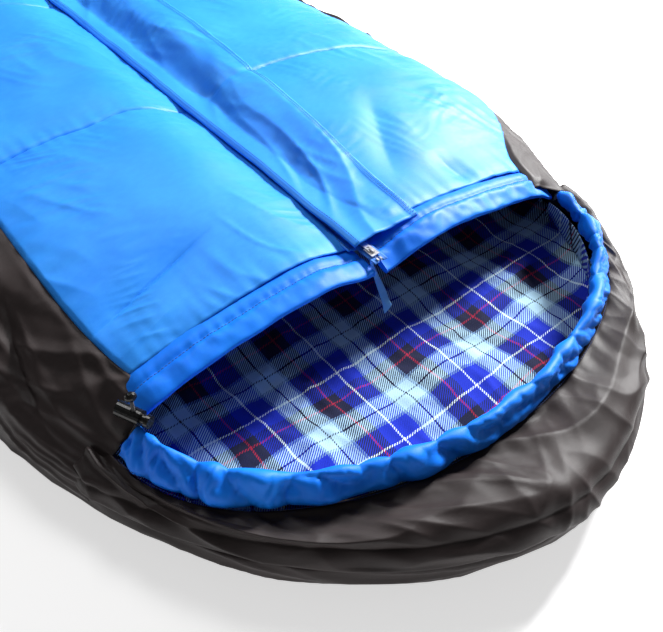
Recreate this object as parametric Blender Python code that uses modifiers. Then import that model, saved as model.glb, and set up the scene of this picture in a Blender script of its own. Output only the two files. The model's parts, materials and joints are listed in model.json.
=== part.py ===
"""Hooded sleeping bag with a centre zip, lying flat.  Metres, +Z up, head towards -Y, origin under the middle."""
import math

import bmesh
import bpy
from mathutils import Matrix, Vector

# Plan
LENGTH = 2.20
WIDTH = 0.82
FOOT_WIDTH = 0.62
HEAD_Y = -LENGTH / 2
FOOT_Y = LENGTH / 2
HEAD_CURVE = 0.51
HEAD_POWER = 1.9
FOOT_CURVE = 0.16
FOOT_POWER = 3.2
SHOULDER_Y = HEAD_Y + HEAD_CURVE
FOOT_CURVE_Y = FOOT_Y - FOOT_CURVE
NECK_Y = HEAD_Y + 0.31

# Quilts
SKIN = 0.0012
GAP = 0.0005
LOFT = 0.0045
PAD_X = 0.034
ROWS = 16
SEAM_Z = 0.055
FLOOR_PAD_Z = 0.040
FLOOR_PROFILE = ((0.055, 0.0), (0.030, 0.0025), (0.010, 0.016), (0.002, 0.036))
WALL = 0.036
CROWN_Z = 0.188
NECK_CROWN_Z = 0.162
QUILT = 0.042
EDGE_X = 0.009
EDGE_HALF = 0.003
VALLEY = 0.045
BLUE_U = 0.53
BLUE_SHIFT = 0.25
BLUE_SHIFT_LENGTH = 0.16
FULL = 0.55
FULL_LENGTH = 0.16
QUILT_START_Y = NECK_Y + 0.047
QUILT_END_Y = FOOT_Y - 0.006
LOW_FOOT_Y = 0.86

# Zip
ZIP_TOP_Y = NECK_Y + 0.002
ZIP_END_Y = 0.80
ZIP_Z_TOP = 0.150
ZIP_Z_END = 0.168
TAPE = 0.0008
COIL = 0.0026
COIL_GAP = 0.0011
STOP_LENGTH = 0.004
SLIDER_LENGTH = 0.015
SLIDER_WIDTH = 0.011
SLIDER_PLATE = 0.0012
SLIDER_Y = ZIP_TOP_Y + 0.017
RIBBON_LENGTH = 0.070
RIBBON_WIDTH = 0.0100
TAB_WIDTH = 0.0075
TAB_LENGTH = 0.026
PULL_THICK = 0.0007
FLAP_FREE_X = 0.0045
FLAP_WIDTH = 0.0875
FLAP_LIFT = 0.0105
FLAP_CLEAR = 0.005

# Fold lines of the two front corners, from the neck hem to the zip
FOLD_X = 0.20
FOLD_Y = 0.45
FOLD_GAP = 0.0085
FOLD_SLOPE = math.tan(math.radians(20))
LAPEL_END_Y = -0.02
FLAT_REACH = 0.09

# Hood ring: semi-axes of the channel's outer seam and of its top edge
SEAM_RING = (0.335, 0.206)
TOP_RING = (0.303, 0.190)
RING_END = 0.045
RING_GAP = 0.004
HOOD_RIM = 0.008
HOOD_SWELL = 0.014
CHANNEL_THICK = 0.013
CHANNEL_WALL = 0.0014
CORD_DIAMETER = 0.0035
# Heights at the neck corners and at the head
HOOD_OUTER_Z = (0.086, 0.072)
HOOD_INNER_Z = (0.066, 0.060)
CHANNEL_LOW_Z = (0.091, 0.077)
CHANNEL_HIGH_Z = (0.116, 0.108)

# Cord lock, measured along its own barrel
LOCK_AT = Vector((-0.309, NECK_Y + 0.001, 0.1255))
LOCK_AXIS = Vector((0.42, -0.91, 0.0)).normalized()
LOCK_RADIUS = 0.0078
LOCK_LIFT = 0.012
LOCK_LENGTH = 0.026
LOCK_BORE = 0.0052
LOCK_HOLE = 0.0030
PLUNGER_RADIUS = 0.0048
PLUNGER_LENGTH = 0.0215
BUTTON_RADIUS = 0.0066
BUTTON_LENGTH = 0.0042
PLUNGER_TRAVEL = 0.004
CORD_SLOT_AT = 0.003
SPRING_AT = -0.0110
SPRING_LENGTH = 0.0062
SPRING_RADIUS = 0.0037
SPRING_WIRE = 0.0007
SPRING_TURNS = 3.5
BEAD_RADIUS = 0.0052
BEAD_Z = LOCK_AT.z + LOCK_RADIUS + LOCK_LIFT + BEAD_RADIUS + 0.0015
ANCHOR_TAB = (0.016, 0.010, 0.0016)

# Foot
LOOP_RADIUS = 0.015
LOOP_WIDTH = 0.018
LOOP_TAPE = 0.0014
LOOP_AT = (0.279, FOOT_Y - 0.031)
LOOP_TURN = math.radians(48)


def clear_scene():
    for obj in list(bpy.data.objects):
        bpy.data.objects.remove(obj, do_unlink=True)


def collection(name):
    found = bpy.data.collections.get(name) or bpy.data.collections.new(name)
    if name not in bpy.context.scene.collection.children:
        bpy.context.scene.collection.children.link(found)
    return found


def material(name, colour, roughness, metallic=0.0):
    made = bpy.data.materials.new(name)
    made.use_nodes = True
    shader = made.node_tree.nodes["Principled BSDF"]
    shader.inputs["Base Color"].default_value = (*colour, 1.0)
    shader.inputs["Roughness"].default_value = roughness
    shader.inputs["Metallic"].default_value = metallic
    made.diffuse_color = (*colour, 1.0)
    return made


def add_object(name, mesh, mat):
    obj = bpy.data.objects.new(name, mesh)
    PARTS.objects.link(obj)
    mesh.materials.append(mat)
    return obj


def finish_mesh(name, bm, mat, smooth=True):
    bmesh.ops.recalc_face_normals(bm, faces=bm.faces[:])
    if bm.calc_volume(signed=True) < 0:
        bmesh.ops.reverse_faces(bm, faces=bm.faces[:])
    mesh = bpy.data.meshes.new(name)
    bm.to_mesh(mesh)
    bm.free()
    if smooth:
        mesh.shade_smooth()
        mesh.set_sharp_from_angle(angle=math.radians(40))
    return add_object(name, mesh, mat)


def hang_on(obj, pivot):
    """Gives a moving piece its pivot's place as origin, and parents it there."""
    obj.data.transform(Matrix.Translation(-pivot.location))
    obj.parent = pivot


def pivot_at(name, point):
    pivot = bpy.data.objects.new(name, None)
    pivot.empty_display_size = 0.03
    pivot.location = point
    PARTS.objects.link(pivot)
    return pivot


def smooth_step(t):
    t = min(max(t, 0.0), 1.0)
    return t * t * (3 - 2 * t)


# ---------------------------------------------------------------- forms

def half_width(y):
    """Half the bag's plan width at y."""
    wide, narrow = WIDTH / 2, FOOT_WIDTH / 2
    if y < SHOULDER_Y:
        reach = min((SHOULDER_Y - y) / HEAD_CURVE, 1.0)
        return wide * (1 - reach ** HEAD_POWER) ** (1 / HEAD_POWER)
    if y > FOOT_CURVE_Y:
        reach = min((y - FOOT_CURVE_Y) / FOOT_CURVE, 1.0)
        return narrow * (1 - reach ** FOOT_POWER) ** (1 / FOOT_POWER)
    return wide - (wide - narrow) * smooth_step((y - SHOULDER_Y) / (FOOT_CURVE_Y - SHOULDER_Y))


def outline(head_steps=14, side_steps=8, foot_steps=9):
    """The plan outline as a closed list of points, anticlockwise from the foot's middle, without repeats."""
    half = []
    for i in range(foot_steps, 0, -1):
        a = math.pi / 2 * i / foot_steps
        x = FOOT_WIDTH / 2 * math.cos(a) ** (2 / FOOT_POWER) if i < foot_steps else 0.0
        half.append((x, FOOT_CURVE_Y + FOOT_CURVE * math.sin(a) ** (2 / FOOT_POWER)))
    for i in range(side_steps):
        y = FOOT_CURVE_Y + (SHOULDER_Y - FOOT_CURVE_Y) * i / side_steps
        half.append((half_width(y), y))
    for i in range(head_steps + 1):
        a = math.pi / 2 * i / head_steps
        x = WIDTH / 2 * math.cos(a) ** (2 / HEAD_POWER) if i < head_steps else 0.0
        half.append((x, SHOULDER_Y - HEAD_CURVE * math.sin(a) ** (2 / HEAD_POWER)))
    other = [(-x, y) for x, y in half[1:-1]]
    return [Vector((x, y)) for x, y in half + other[::-1]]


def inset_outline(points, distance):
    """The outline moved inwards by distance, along each point's normal."""
    moved = []
    for i, here in enumerate(points):
        along = points[(i + 1) % len(points)] - points[i - 1]
        inward = Vector((along.y, -along.x)).normalized()
        if inward.dot(Vector((0.0, min(max(here.y, -0.5), 0.85))) - here) < 0:
            inward.negate()
        moved.append(here + inward * distance)
    return moved


def tray(name, profile, mat):
    """A closed body around the whole outline: profile is (inset, z) pairs, with a flat face over each end."""
    points = outline()
    bm = bmesh.new()
    rings = []
    for distance, z in profile:
        rings.append([bm.verts.new((p.x, p.y, z)) for p in inset_outline(points, distance)])
    for low, high in zip(rings, rings[1:]):
        for i in range(len(points)):
            j = (i + 1) % len(points)
            bm.faces.new((low[i], low[j], high[j], high[i]))
    bm.faces.new(rings[0][::-1])
    bm.faces.new(rings[-1])
    return finish_mesh(name, bm, mat)


def pad(name, place, nu, nv, near, far, mat):
    """A closed quilt layer: a grid laid at depth near, extruded, and moved to depth far.

    place(u, v, depth) gives a point; u and v run from 0 to 1; near and far are depth functions of (u, v)."""
    bm = bmesh.new()
    bmesh.ops.create_grid(bm, x_segments=nu, y_segments=nv, size=0.5)
    places = {v: (v.co.x + 0.5, v.co.y + 0.5) for v in bm.verts}
    made = bmesh.ops.extrude_face_region(bm, geom=bm.faces[:])
    raised = [g for g in made["geom"] if isinstance(g, bmesh.types.BMVert)]
    for v in raised:
        u, w = v.co.x + 0.5, v.co.y + 0.5
        v.co = place(u, w, far(u, w))
    for v, (u, w) in places.items():
        v.co = place(u, w, near(u, w))
    bmesh.ops.triangulate(bm, faces=bm.faces[:], quad_method="FIXED")
    return finish_mesh(name, bm, mat)


def zip_z(y):
    return ZIP_Z_TOP + (ZIP_Z_END - ZIP_Z_TOP) * (y - ZIP_TOP_Y) / (ZIP_END_Y - ZIP_TOP_Y)


def fold_x(y):
    """Distance of the fold line from the zip at y."""
    return FOLD_X * (FOLD_Y - y) / (FOLD_Y - NECK_Y)


def crown_z(y):
    """Height of the front quilt's outer face, before the valley at the zip."""
    rise = smooth_step((y - NECK_Y) / 0.33)
    top = NECK_CROWN_Z + (CROWN_Z - NECK_CROWN_Z) * rise
    fall = min(max((y - LOW_FOOT_Y) / (FOOT_Y - LOW_FOOT_Y), 0.0), 1.0)
    return SEAM_Z + (top - SEAM_Z) * math.sqrt(1 - fall ** 2.4)


def quilt_depth(y):
    return min(QUILT, 0.55 * (crown_z(y) - SEAM_Z) + 0.004)


def blue_u(side, y):
    """Where the blue panel meets the charcoal side: lower down on the right, beyond the neck."""
    return BLUE_U + (BLUE_SHIFT * smooth_step((y - QUILT_START_Y) / BLUE_SHIFT_LENGTH) if side > 0 else 0.0)


def front_faces(u, y):
    """Outer and inner point of the right front quilt: u is 0 at the zip and 1 at the lower seam."""
    angle = u * math.pi / 2
    level = math.cos(angle) ** (1 - (1 - FULL) * smooth_step((y - QUILT_START_Y) / FULL_LENGTH))
    width = half_width(y)
    top = crown_z(y)
    inner_top = top - quilt_depth(y)
    x_out = EDGE_X + (width - EDGE_X) * math.sin(angle)
    x_in = EDGE_X + (width - WALL - EDGE_X) * math.sin(angle)
    z_out = SEAM_Z + (top - SEAM_Z) * level
    z_in = SEAM_Z + (inner_top - SEAM_Z) * level
    middle = min(zip_z(y), top - quilt_depth(y) / 2)
    pinch_out = math.exp(-(((x_out - EDGE_X) / VALLEY) ** 2))
    pinch_in = math.exp(-(((x_in - EDGE_X) / VALLEY) ** 2))
    z_out += (middle + EDGE_HALF - top) * pinch_out
    z_in += (middle - EDGE_HALF - inner_top) * pinch_in
    return Vector((x_out, y, z_out)), Vector((x_in, y, z_in))


def u_at(x, y):
    """The u of front_faces whose outer point lies at x."""
    ratio = (x - EDGE_X) / (half_width(y) - EDGE_X)
    return math.asin(min(max(ratio, 0.0), 1.0)) * 2 / math.pi


def between(outer, inner, depth):
    """A point depth metres in from outer, or, for a negative depth, that far out from inner."""
    across = inner - outer
    share = min(abs(depth) / across.length, 0.42)
    return outer + across * (share if depth >= 0 else 1 - share)


def front_place(side, u_from, u_to, y_from, y_to):
    """A place function for pad over part of one front quilt: depth is metres in from the outer face."""
    def place(u, v, depth):
        y = y_from + (y_to - y_from) * (0.5 - 0.5 * math.cos(math.pi * v))
        start, end = u_from(y), u_to(y)
        point = between(*front_faces(start + (end - start) * u, y), depth)
        return Vector((side * point.x, point.y, point.z))
    return place


def batting_place(side, u_from, u_to, y_from, y_to):
    """As front_place, but flattened towards the fold line, where the batting is quilted through."""
    base = front_place(side, u_from, u_to, y_from, y_to)

    def place(u, v, depth):
        point = base(u, v, depth)
        if point.y > FOLD_Y:
            return point
        reach = max(abs(abs(point.x) - fold_x(point.y)) - FOLD_GAP, 0.0)
        half = EDGE_HALF + FOLD_SLOPE * reach + 3.0 * max(reach - FLAT_REACH, 0.0)
        fade = smooth_step((point.y - LAPEL_END_Y) / (FOLD_Y - LAPEL_END_Y))
        level = zip_z(point.y)
        flat = min(max(point.z, level - half), level + half)
        point.z = flat + (point.z - flat) * fade
        return point
    return place


def box(name, size, centre, mat, tilt=None):
    bm = bmesh.new()
    bmesh.ops.create_cube(bm, size=1.0)
    bmesh.ops.scale(bm, vec=size, verts=bm.verts)
    if tilt is not None:
        bmesh.ops.rotate(bm, matrix=tilt, verts=bm.verts)
    bmesh.ops.translate(bm, vec=centre, verts=bm.verts)
    return finish_mesh(name, bm, mat, smooth=False)


def cylinder(name, radius, length, centre, axis, mat, segments=20):
    bm = bmesh.new()
    bmesh.ops.create_cone(bm, cap_ends=True, segments=segments, radius1=radius, radius2=radius, depth=length)
    turn = Vector((0, 0, 1)).rotation_difference(axis).to_matrix()
    bmesh.ops.rotate(bm, matrix=turn, verts=bm.verts)
    bmesh.ops.translate(bm, vec=centre, verts=bm.verts)
    return finish_mesh(name, bm, mat)


def as_cutter(obj):
    PARTS.objects.unlink(obj)
    CUTTERS.objects.link(obj)
    obj.hide_render = True
    obj.display_type = "WIRE"
    return obj


def boolean(obj, other, operation):
    step = obj.modifiers.new(f"{operation.lower()} {other.name}", "BOOLEAN")
    step.operation = operation
    step.object = other
    step.solver = "EXACT"


def tube(name, points, diameter, mat, resolution=2):
    """A round cord or wire along points, with filled ends."""
    curve = bpy.data.curves.new(name, "CURVE")
    curve.dimensions = "3D"
    curve.bevel_depth = diameter / 2
    curve.bevel_resolution = resolution
    curve.use_fill_caps = True
    spline = curve.splines.new("POLY")
    spline.points.add(len(points) - 1)
    for spot, place in zip(spline.points, points):
        spot.co = (*place, 1.0)
    curve.materials.append(mat)
    obj = bpy.data.objects.new(name, curve)
    PARTS.objects.link(obj)
    return obj


# ---------------------------------------------------------------- bottom half

def make_bottom():
    rim = SEAM_Z - GAP
    outer = [*FLOOR_PROFILE, (0.0, rim)]
    inner = [(d + SKIN, max(z, 0.0) + (SKIN if z < rim else 0.0)) for d, z in outer[::-1]]
    tray("bottom_shell", outer + inner, CHARCOAL)

    first = SKIN + GAP
    pad_outer = [(0.055, first), (0.032, 0.0025 + first), (0.012, 0.017 + first), (0.0042, 0.037),
                 (0.0022, rim)]
    top = FLOOR_PAD_Z - SKIN - GAP
    pad_inner = [(WALL - 0.004, rim), (WALL + 0.012, rim - 0.008), (WALL + 0.045, top)]
    tray("bottom_insulation", pad_outer + pad_inner, BATTING)

    under = [(WALL + 0.047, top + GAP), (WALL + 0.014, rim - 0.008 + GAP), (WALL - 0.001, rim - 0.001)]
    over = [(WALL - 0.001 + SKIN, rim), (WALL + 0.0155, rim - 0.008 + GAP + SKIN), (WALL + 0.047, FLOOR_PAD_Z)]
    tray("bottom_lining", under + over, PLAID)


# ---------------------------------------------------------------- hood

def ring_point(t, axes, z_end, z_head):
    """Point t (0 left neck, 1 right neck) of an elliptical ring around the head opening."""
    angle = math.pi * t
    dip = math.sin(angle)
    return Vector((-axes[0] * math.cos(angle), NECK_Y - axes[1] * dip, z_end + (z_head - z_end) * dip))


def head_outline(t):
    """Point t of the plan outline around the hood, from the left neck to the right neck."""
    reach = (SHOULDER_Y - NECK_Y) / HEAD_CURVE
    start = math.asin(reach ** (HEAD_POWER / 2))
    angle = start + (math.pi - 2 * start) * t
    across = math.copysign(abs(math.cos(angle)) ** (2 / HEAD_POWER), math.cos(angle))
    return Vector((-WIDTH / 2 * across, SHOULDER_Y - HEAD_CURVE * math.sin(angle) ** (2 / HEAD_POWER)))


def hood_faces(t, q):
    """Outer and inner point of the hood quilt: q is 0 at the channel and 1 at the lower seam."""
    angle = q * math.pi / 2
    edge = head_outline(t)
    centre = Vector((0.0, SHOULDER_Y))
    inset = edge + (centre - edge).normalized() * HOOD_RIM
    seam = ring_point(t, (SEAM_RING[0] + RING_GAP, SEAM_RING[1] + RING_GAP), *HOOD_OUTER_Z)
    inner = ring_point(t, (SEAM_RING[0] - RING_GAP / 2, SEAM_RING[1] - RING_GAP / 2), *HOOD_INNER_Z)
    swell = HOOD_SWELL * math.sin(math.pi * q) * (0.35 + 0.65 * math.sin(math.pi * t))
    reach, level = math.sin(angle), math.cos(angle)
    x_out = seam.x + (edge.x - seam.x) * reach
    y_out = seam.y + (edge.y - seam.y) * reach
    x_in = inner.x + (inset.x - inner.x) * reach
    y_in = inner.y + (inset.y - inner.y) * reach
    outer = Vector((x_out, y_out, SEAM_Z + (seam.z - SEAM_Z) * level + swell))
    lower = SEAM_Z + (inner.z - SEAM_Z) * level
    return outer, Vector((x_in, y_in, lower))


def hood_place(u, v, depth):
    return between(*hood_faces(v, u), depth)


def make_hood():
    pad("hood_shell", hood_place, 4, 22, lambda u, v: 0.0, lambda u, v: SKIN, CHARCOAL)
    pad("hood_insulation", hood_place, 4, 22, lambda u, v: SKIN + LOFT, lambda u, v: -SKIN - LOFT, BATTING)
    pad("hood_lining", hood_place, 4, 22, lambda u, v: -SKIN, lambda u, v: -0.00001, PLAID)


def channel_frame(t):
    """Middle, width direction and thickness direction of the drawcord channel at t."""
    t = RING_END / math.pi + (1 - 2 * RING_END / math.pi) * t
    low = ring_point(t, SEAM_RING, *CHANNEL_LOW_Z)
    high = ring_point(t, TOP_RING, *CHANNEL_HIGH_Z)
    up = high - low
    step = 0.001
    ahead = ring_point(t + step, SEAM_RING, *CHANNEL_LOW_Z) - ring_point(t - step, SEAM_RING, *CHANNEL_LOW_Z)
    out = ahead.cross(up).normalized()
    return (low + high) / 2, up, out


def make_channel(steps=24, sides=10):
    """A flattened casing around the hood's edge, open at both ends where the drawcord leaves it."""
    bm = bmesh.new()
    loops = []
    for i in range(steps + 1):
        middle, up, out = channel_frame(i / steps)
        loop = []
        for k in range(sides):
            a = 2 * math.pi * k / sides
            loop.append(bm.verts.new(middle + up * 0.5 * math.cos(a) + out * CHANNEL_THICK / 2 * math.sin(a)))
        loops.append(loop)
    for first, second in zip(loops, loops[1:]):
        for k in range(sides):
            j = (k + 1) % sides
            bm.faces.new((first[k], first[j], second[j], second[k]))
    obj = finish_mesh("hood_channel", bm, HEM_BLUE)
    wall = obj.modifiers.new("wall", "SOLIDIFY")
    wall.thickness = CHANNEL_WALL
    wall.offset = -1.0


def cord_route(steps=46):
    """The drawcord's middle line, from its sewn end at the right neck to the bead beyond the cord lock."""
    points = [channel_frame(1 - i / steps)[0] for i in range(steps + 1)]
    last = points[-1]
    leave = last - points[-2]
    leave.normalize()
    slot = LOCK_AT + LOCK_AXIS * CORD_SLOT_AT
    rise_from = Vector((slot.x, slot.y, 0.1135))
    control = [last, last + leave * 0.006, rise_from - Vector((0, 0, 0.007)), rise_from]
    for i in range(1, 7):
        t = i / 6
        a = control[0].lerp(control[1], t)
        b = control[1].lerp(control[2], t)
        c = control[2].lerp(control[3], t)
        points.append(a.lerp(b, t).lerp(b.lerp(c, t), t))
    for i in range(1, 5):
        points.append(rise_from.lerp(Vector((slot.x, slot.y, BEAD_Z - BEAD_RADIUS - 0.0004)), i / 4))
    return points


def make_drawcord():
    tube("hood_drawcord", cord_route(), CORD_DIAMETER, CORD_BLACK, resolution=1)
    slot = LOCK_AT + LOCK_AXIS * CORD_SLOT_AT
    bm = bmesh.new()
    bmesh.ops.create_uvsphere(bm, u_segments=12, v_segments=8, radius=BEAD_RADIUS)
    bmesh.ops.scale(bm, vec=(1.15, 0.95, 1.0), verts=bm.verts)
    bmesh.ops.translate(bm, vec=(slot.x, slot.y, BEAD_Z), verts=bm.verts)
    finish_mesh("cord_end_bead", bm, CORD_BLACK)
    end = channel_frame(1.0)[0]
    box("drawcord_anchor_tab", ANCHOR_TAB, end + Vector((0.0, 0.0066, 0.0)), CORD_BLACK,
        Matrix.Rotation(math.radians(90), 3, "X"))


# ---------------------------------------------------------------- cord lock

def on_barrel(distance):
    return LOCK_AT + LOCK_AXIS * distance


def make_cord_lock():
    up = Vector((0, 0, 1))
    body = cylinder("cord_lock_body", LOCK_RADIUS, LOCK_LENGTH, on_barrel(-0.002), LOCK_AXIS, LOCK_PLASTIC)
    bore = cylinder("cut_lock_bore", LOCK_BORE, LOCK_LENGTH - 0.001, on_barrel(0.0006), LOCK_AXIS, LOCK_PLASTIC)
    hole = cylinder("cut_lock_hole", LOCK_HOLE, LOCK_LENGTH, on_barrel(CORD_SLOT_AT), up, LOCK_PLASTIC, 12)
    for cutter in (bore, hole):
        boolean(body, as_cutter(cutter), "DIFFERENCE")

    stem_at, head_at = on_barrel(0.0064), on_barrel(0.0186)
    plunger = cylinder("cord_lock_plunger", PLUNGER_RADIUS, PLUNGER_LENGTH, stem_at, LOCK_AXIS, LOCK_BUTTON)
    head = cylinder("cut_plunger_head", BUTTON_RADIUS, BUTTON_LENGTH, head_at, LOCK_AXIS, LOCK_BUTTON)
    boolean(plunger, as_cutter(head), "UNION")
    slot_middle = CORD_SLOT_AT + PLUNGER_TRAVEL / 2
    slot_length = CORD_DIAMETER + PLUNGER_TRAVEL + 0.0012
    turn = Vector((1, 0, 0)).rotation_difference(LOCK_AXIS).to_matrix()
    slot = box("cut_plunger_slot", (slot_length, 0.0048, 0.03), on_barrel(slot_middle), LOCK_BUTTON, turn)
    boolean(plunger, as_cutter(slot), "DIFFERENCE")

    side = LOCK_AXIS.cross(up)
    steps_per_turn = 10
    steps = int(SPRING_TURNS * steps_per_turn)
    coil = []
    for i in range(steps + 1):
        a = 2 * math.pi * i / steps_per_turn
        along = SPRING_AT + SPRING_WIRE / 2 + (SPRING_LENGTH - SPRING_WIRE) * i / steps
        coil.append(on_barrel(along) + (side * math.cos(a) + up * math.sin(a)) * SPRING_RADIUS)
    tube("cord_lock_spring", coil, SPRING_WIRE, STEEL, resolution=1)


# ---------------------------------------------------------------- front

def make_front(side, word):
    whole = front_place(side, lambda y: 0.0, lambda y: blue_u(side, y) - 0.002, QUILT_START_Y, QUILT_END_Y)
    pad(f"{word}_front_shell", whole, 8, ROWS, lambda u, v: 0.0, lambda u, v: SKIN, BLUE)
    band = front_place(side, lambda y: blue_u(side, y) + 0.002, lambda y: 1.0, QUILT_START_Y, QUILT_END_Y)
    pad(f"{word}_side_shell", band, 4, ROWS, lambda u, v: 0.0, lambda u, v: SKIN, CHARCOAL)
    inside = front_place(side, lambda y: 0.0, lambda y: 1.0, QUILT_START_Y, QUILT_END_Y)
    pad(f"{word}_front_lining", inside, 8, ROWS, lambda u, v: -SKIN, lambda u, v: -0.00001, PLAID)

    def outer_start(y):
        return u_at(max(fold_x(y) + FOLD_GAP, PAD_X), y)

    def lapel_end(y):
        return u_at(fold_x(y) - FOLD_GAP, y)

    first, last = SKIN + LOFT, -SKIN - LOFT
    still = batting_place(side, outer_start, lambda y: 1.0, QUILT_START_Y, QUILT_END_Y)
    pad(f"{word}_front_insulation", still, 8, ROWS, lambda u, v: first * (1 + 3 * v ** 6),
        lambda u, v: last * (1 + 3 * v ** 6), BATTING)
    loose = batting_place(side, lambda y: u_at(PAD_X, y), lapel_end, QUILT_START_Y, LAPEL_END_Y)
    lapel = pad(f"{word}_lapel_insulation", loose, 5, 9, lambda u, v: first, lambda u, v: last, BATTING)

    hem = pad(f"{word}_neck_hem", hem_place(side), 7, 2, lambda u, v: 0.0, lambda u, v: 1.0, HEM_BLUE)
    pivot = pivot_at(f"{word}_lapel_pivot", (side * fold_x(NECK_Y), NECK_Y, zip_z(NECK_Y)))
    for piece in [lapel, hem] + make_zip_half(side, word):
        hang_on(piece, pivot)
    return pivot


def hem_place(side):
    """The neck hem: a soft casing wrapped along the quilt's neck edge, from the zip to the blue seam."""
    def place(u, v, depth):
        outer, inner = front_faces(0.005 + (BLUE_U - 0.01) * u, QUILT_START_Y)
        y = NECK_Y + (QUILT_START_Y - GAP - NECK_Y) * v
        top = outer.z + 0.002 * math.sin(math.pi * v) - 0.004 * (1 - v)
        thick = (0.0058 + 0.010 * min(1.0, u * 4)) * (0.55 + 0.45 * math.sin(math.pi * (0.2 + 0.6 * v)))
        return Vector((side * outer.x, y, top - thick * depth))
    return place


def make_zip_half(side, word):
    tilt = Matrix.Rotation(math.atan2(ZIP_Z_END - ZIP_Z_TOP, ZIP_END_Y - ZIP_TOP_Y), 3, "X")
    middle_y = (ZIP_TOP_Y + ZIP_END_Y) / 2
    inner_x = COIL_GAP + COIL
    tape_x = (inner_x + EDGE_X - GAP) / 2
    tape_wide = EDGE_X - GAP - inner_x
    level = zip_z(middle_y)
    length = ZIP_END_Y - ZIP_TOP_Y
    tape = box(f"{word}_zip_tape", (tape_wide, length, TAPE), (side * tape_x, middle_y, level), TAPE_BLUE, tilt)
    coil_at = (side * (COIL_GAP + COIL / 2 - 0.0002), middle_y, level)
    coil = box(f"{word}_zip_coil", (COIL - 0.0004, length - 0.040, COIL), coil_at, COIL_GREY, tilt)
    stop_y = ZIP_TOP_Y + 0.004
    stop_at = (side * (COIL_GAP + COIL / 2 - 0.0002), stop_y, zip_z(stop_y))
    stop = box(f"{word}_top_stop", (COIL - 0.0004, STOP_LENGTH, 0.0034), stop_at, STEEL, tilt)
    return [tape, coil, stop]


def flap_place(u, v, depth):
    """The cover flap: sewn to the right front along its outer side, lying over the zip with its free edge."""
    y = QUILT_START_Y + 0.001 + (ZIP_END_Y - 0.02 - QUILT_START_Y) * v
    x = FLAP_FREE_X + FLAP_WIDTH * u
    base = front_faces(u_at(x, y), y)[0].z if x > EDGE_X else zip_z(y)
    z = max(base + FLAP_CLEAR, zip_z(y) + FLAP_LIFT - 0.004 * u)
    return Vector((x, y, z + depth))


def make_slider():
    """Two plates joined by a thin post between the coils, with an eye for a pull on each plate."""
    tilt = Matrix.Rotation(math.atan2(ZIP_Z_END - ZIP_Z_TOP, ZIP_END_Y - ZIP_TOP_Y), 3, "X")
    level = zip_z(SLIDER_Y)
    plate = (SLIDER_WIDTH, SLIDER_LENGTH, SLIDER_PLATE)
    plate_z = COIL / 2 + 0.0004 + SLIDER_PLATE / 2
    body = box("zip_slider", plate, (0, SLIDER_Y, level + plate_z), STEEL, tilt)
    under = box("cut_slider_under", plate, (0, SLIDER_Y, level - plate_z), STEEL, tilt)
    post_at = (0, SLIDER_Y - SLIDER_LENGTH / 2 + 0.0022, level)
    post = box("cut_slider_post", (2 * COIL_GAP - 0.0008, 0.004, 2 * plate_z), post_at, STEEL, tilt)
    pieces = [(under, "UNION"), (post, "UNION")]
    for word, sign in (("upper", 1), ("lower", -1)):
        eye_at = Vector((0, SLIDER_Y, level + eye_height(sign)))
        bridge_at = eye_at + Vector((0, 0, sign * 0.00015))
        bridge = box(f"cut_slider_bridge_{word}", (0.0022, 0.008, 0.0026), bridge_at, STEEL)
        eye = box(f"cut_slider_eye_{word}", (0.006, 0.0028, 0.0013), eye_at, STEEL)
        pieces += [(bridge, "UNION"), (eye, "DIFFERENCE")]
    for piece, operation in pieces:
        boolean(body, as_cutter(piece), operation)
    hang_on(body, pivot_at("slider_pivot", (0, SLIDER_Y, level)))


def eye_height(sign):
    """Height of the slider's upper (sign 1) or lower (sign -1) eye above its middle plane."""
    return sign * (COIL / 2 + 0.0004 + SLIDER_PLATE + 0.00075)


def make_pulls():
    """The outer tab lies along the slider; the inner ribbon hangs from the slider's underside."""
    level = zip_z(SLIDER_Y)
    bar, window = 0.0010, 0.0064
    upper = level + eye_height(1)
    tab = box("zip_pull_tab", (TAB_WIDTH, TAB_LENGTH, PULL_THICK), (0, SLIDER_Y + (TAB_LENGTH - bar) / 2, upper), STEEL)
    hole = box("cut_tab_window", (0.0034, window, 0.004), (0, SLIDER_Y + (bar + window) / 2, upper), STEEL)
    boolean(tab, as_cutter(hole), "DIFFERENCE")
    hang_on(tab, pivot_at("pull_tab_pivot", (0, SLIDER_Y, upper)))

    lower = level + eye_height(-1)
    middle = (0, SLIDER_Y, lower - RIBBON_LENGTH / 2 + bar / 2)
    ribbon = box("inner_pull_ribbon", (RIBBON_WIDTH, PULL_THICK, RIBBON_LENGTH), middle, RIBBON_BLUE)
    hole = box("cut_ribbon_window", (0.0036, 0.02, window), (0, SLIDER_Y, lower - (bar + window) / 2), RIBBON_BLUE)
    boolean(ribbon, as_cutter(hole), "DIFFERENCE")
    hang_on(ribbon, pivot_at("ribbon_pivot", (0, SLIDER_Y, lower)))


def make_foot_loops():
    for word, side in (("left", -1), ("right", 1)):
        bm = bmesh.new()
        bmesh.ops.create_cone(bm, segments=20, radius1=LOOP_RADIUS, radius2=LOOP_RADIUS, depth=LOOP_WIDTH)
        bmesh.ops.scale(bm, vec=(0.55, 1.0, 1.0), verts=bm.verts)
        turn = Matrix.Rotation(-side * LOOP_TURN, 3, "Z")
        bmesh.ops.rotate(bm, matrix=turn, verts=bm.verts)
        bmesh.ops.translate(bm, vec=(side * LOOP_AT[0], LOOP_AT[1], SEAM_Z), verts=bm.verts)
        loop = finish_mesh(f"{word}_hang_loop", bm, CORD_BLACK)
        wall = loop.modifiers.new("wall", "SOLIDIFY")
        wall.thickness = LOOP_TAPE
        wall.offset = 0.0


clear_scene()
PARTS = collection("sleeping_bag")
CUTTERS = collection("sleeping_bag_cutters")

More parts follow.
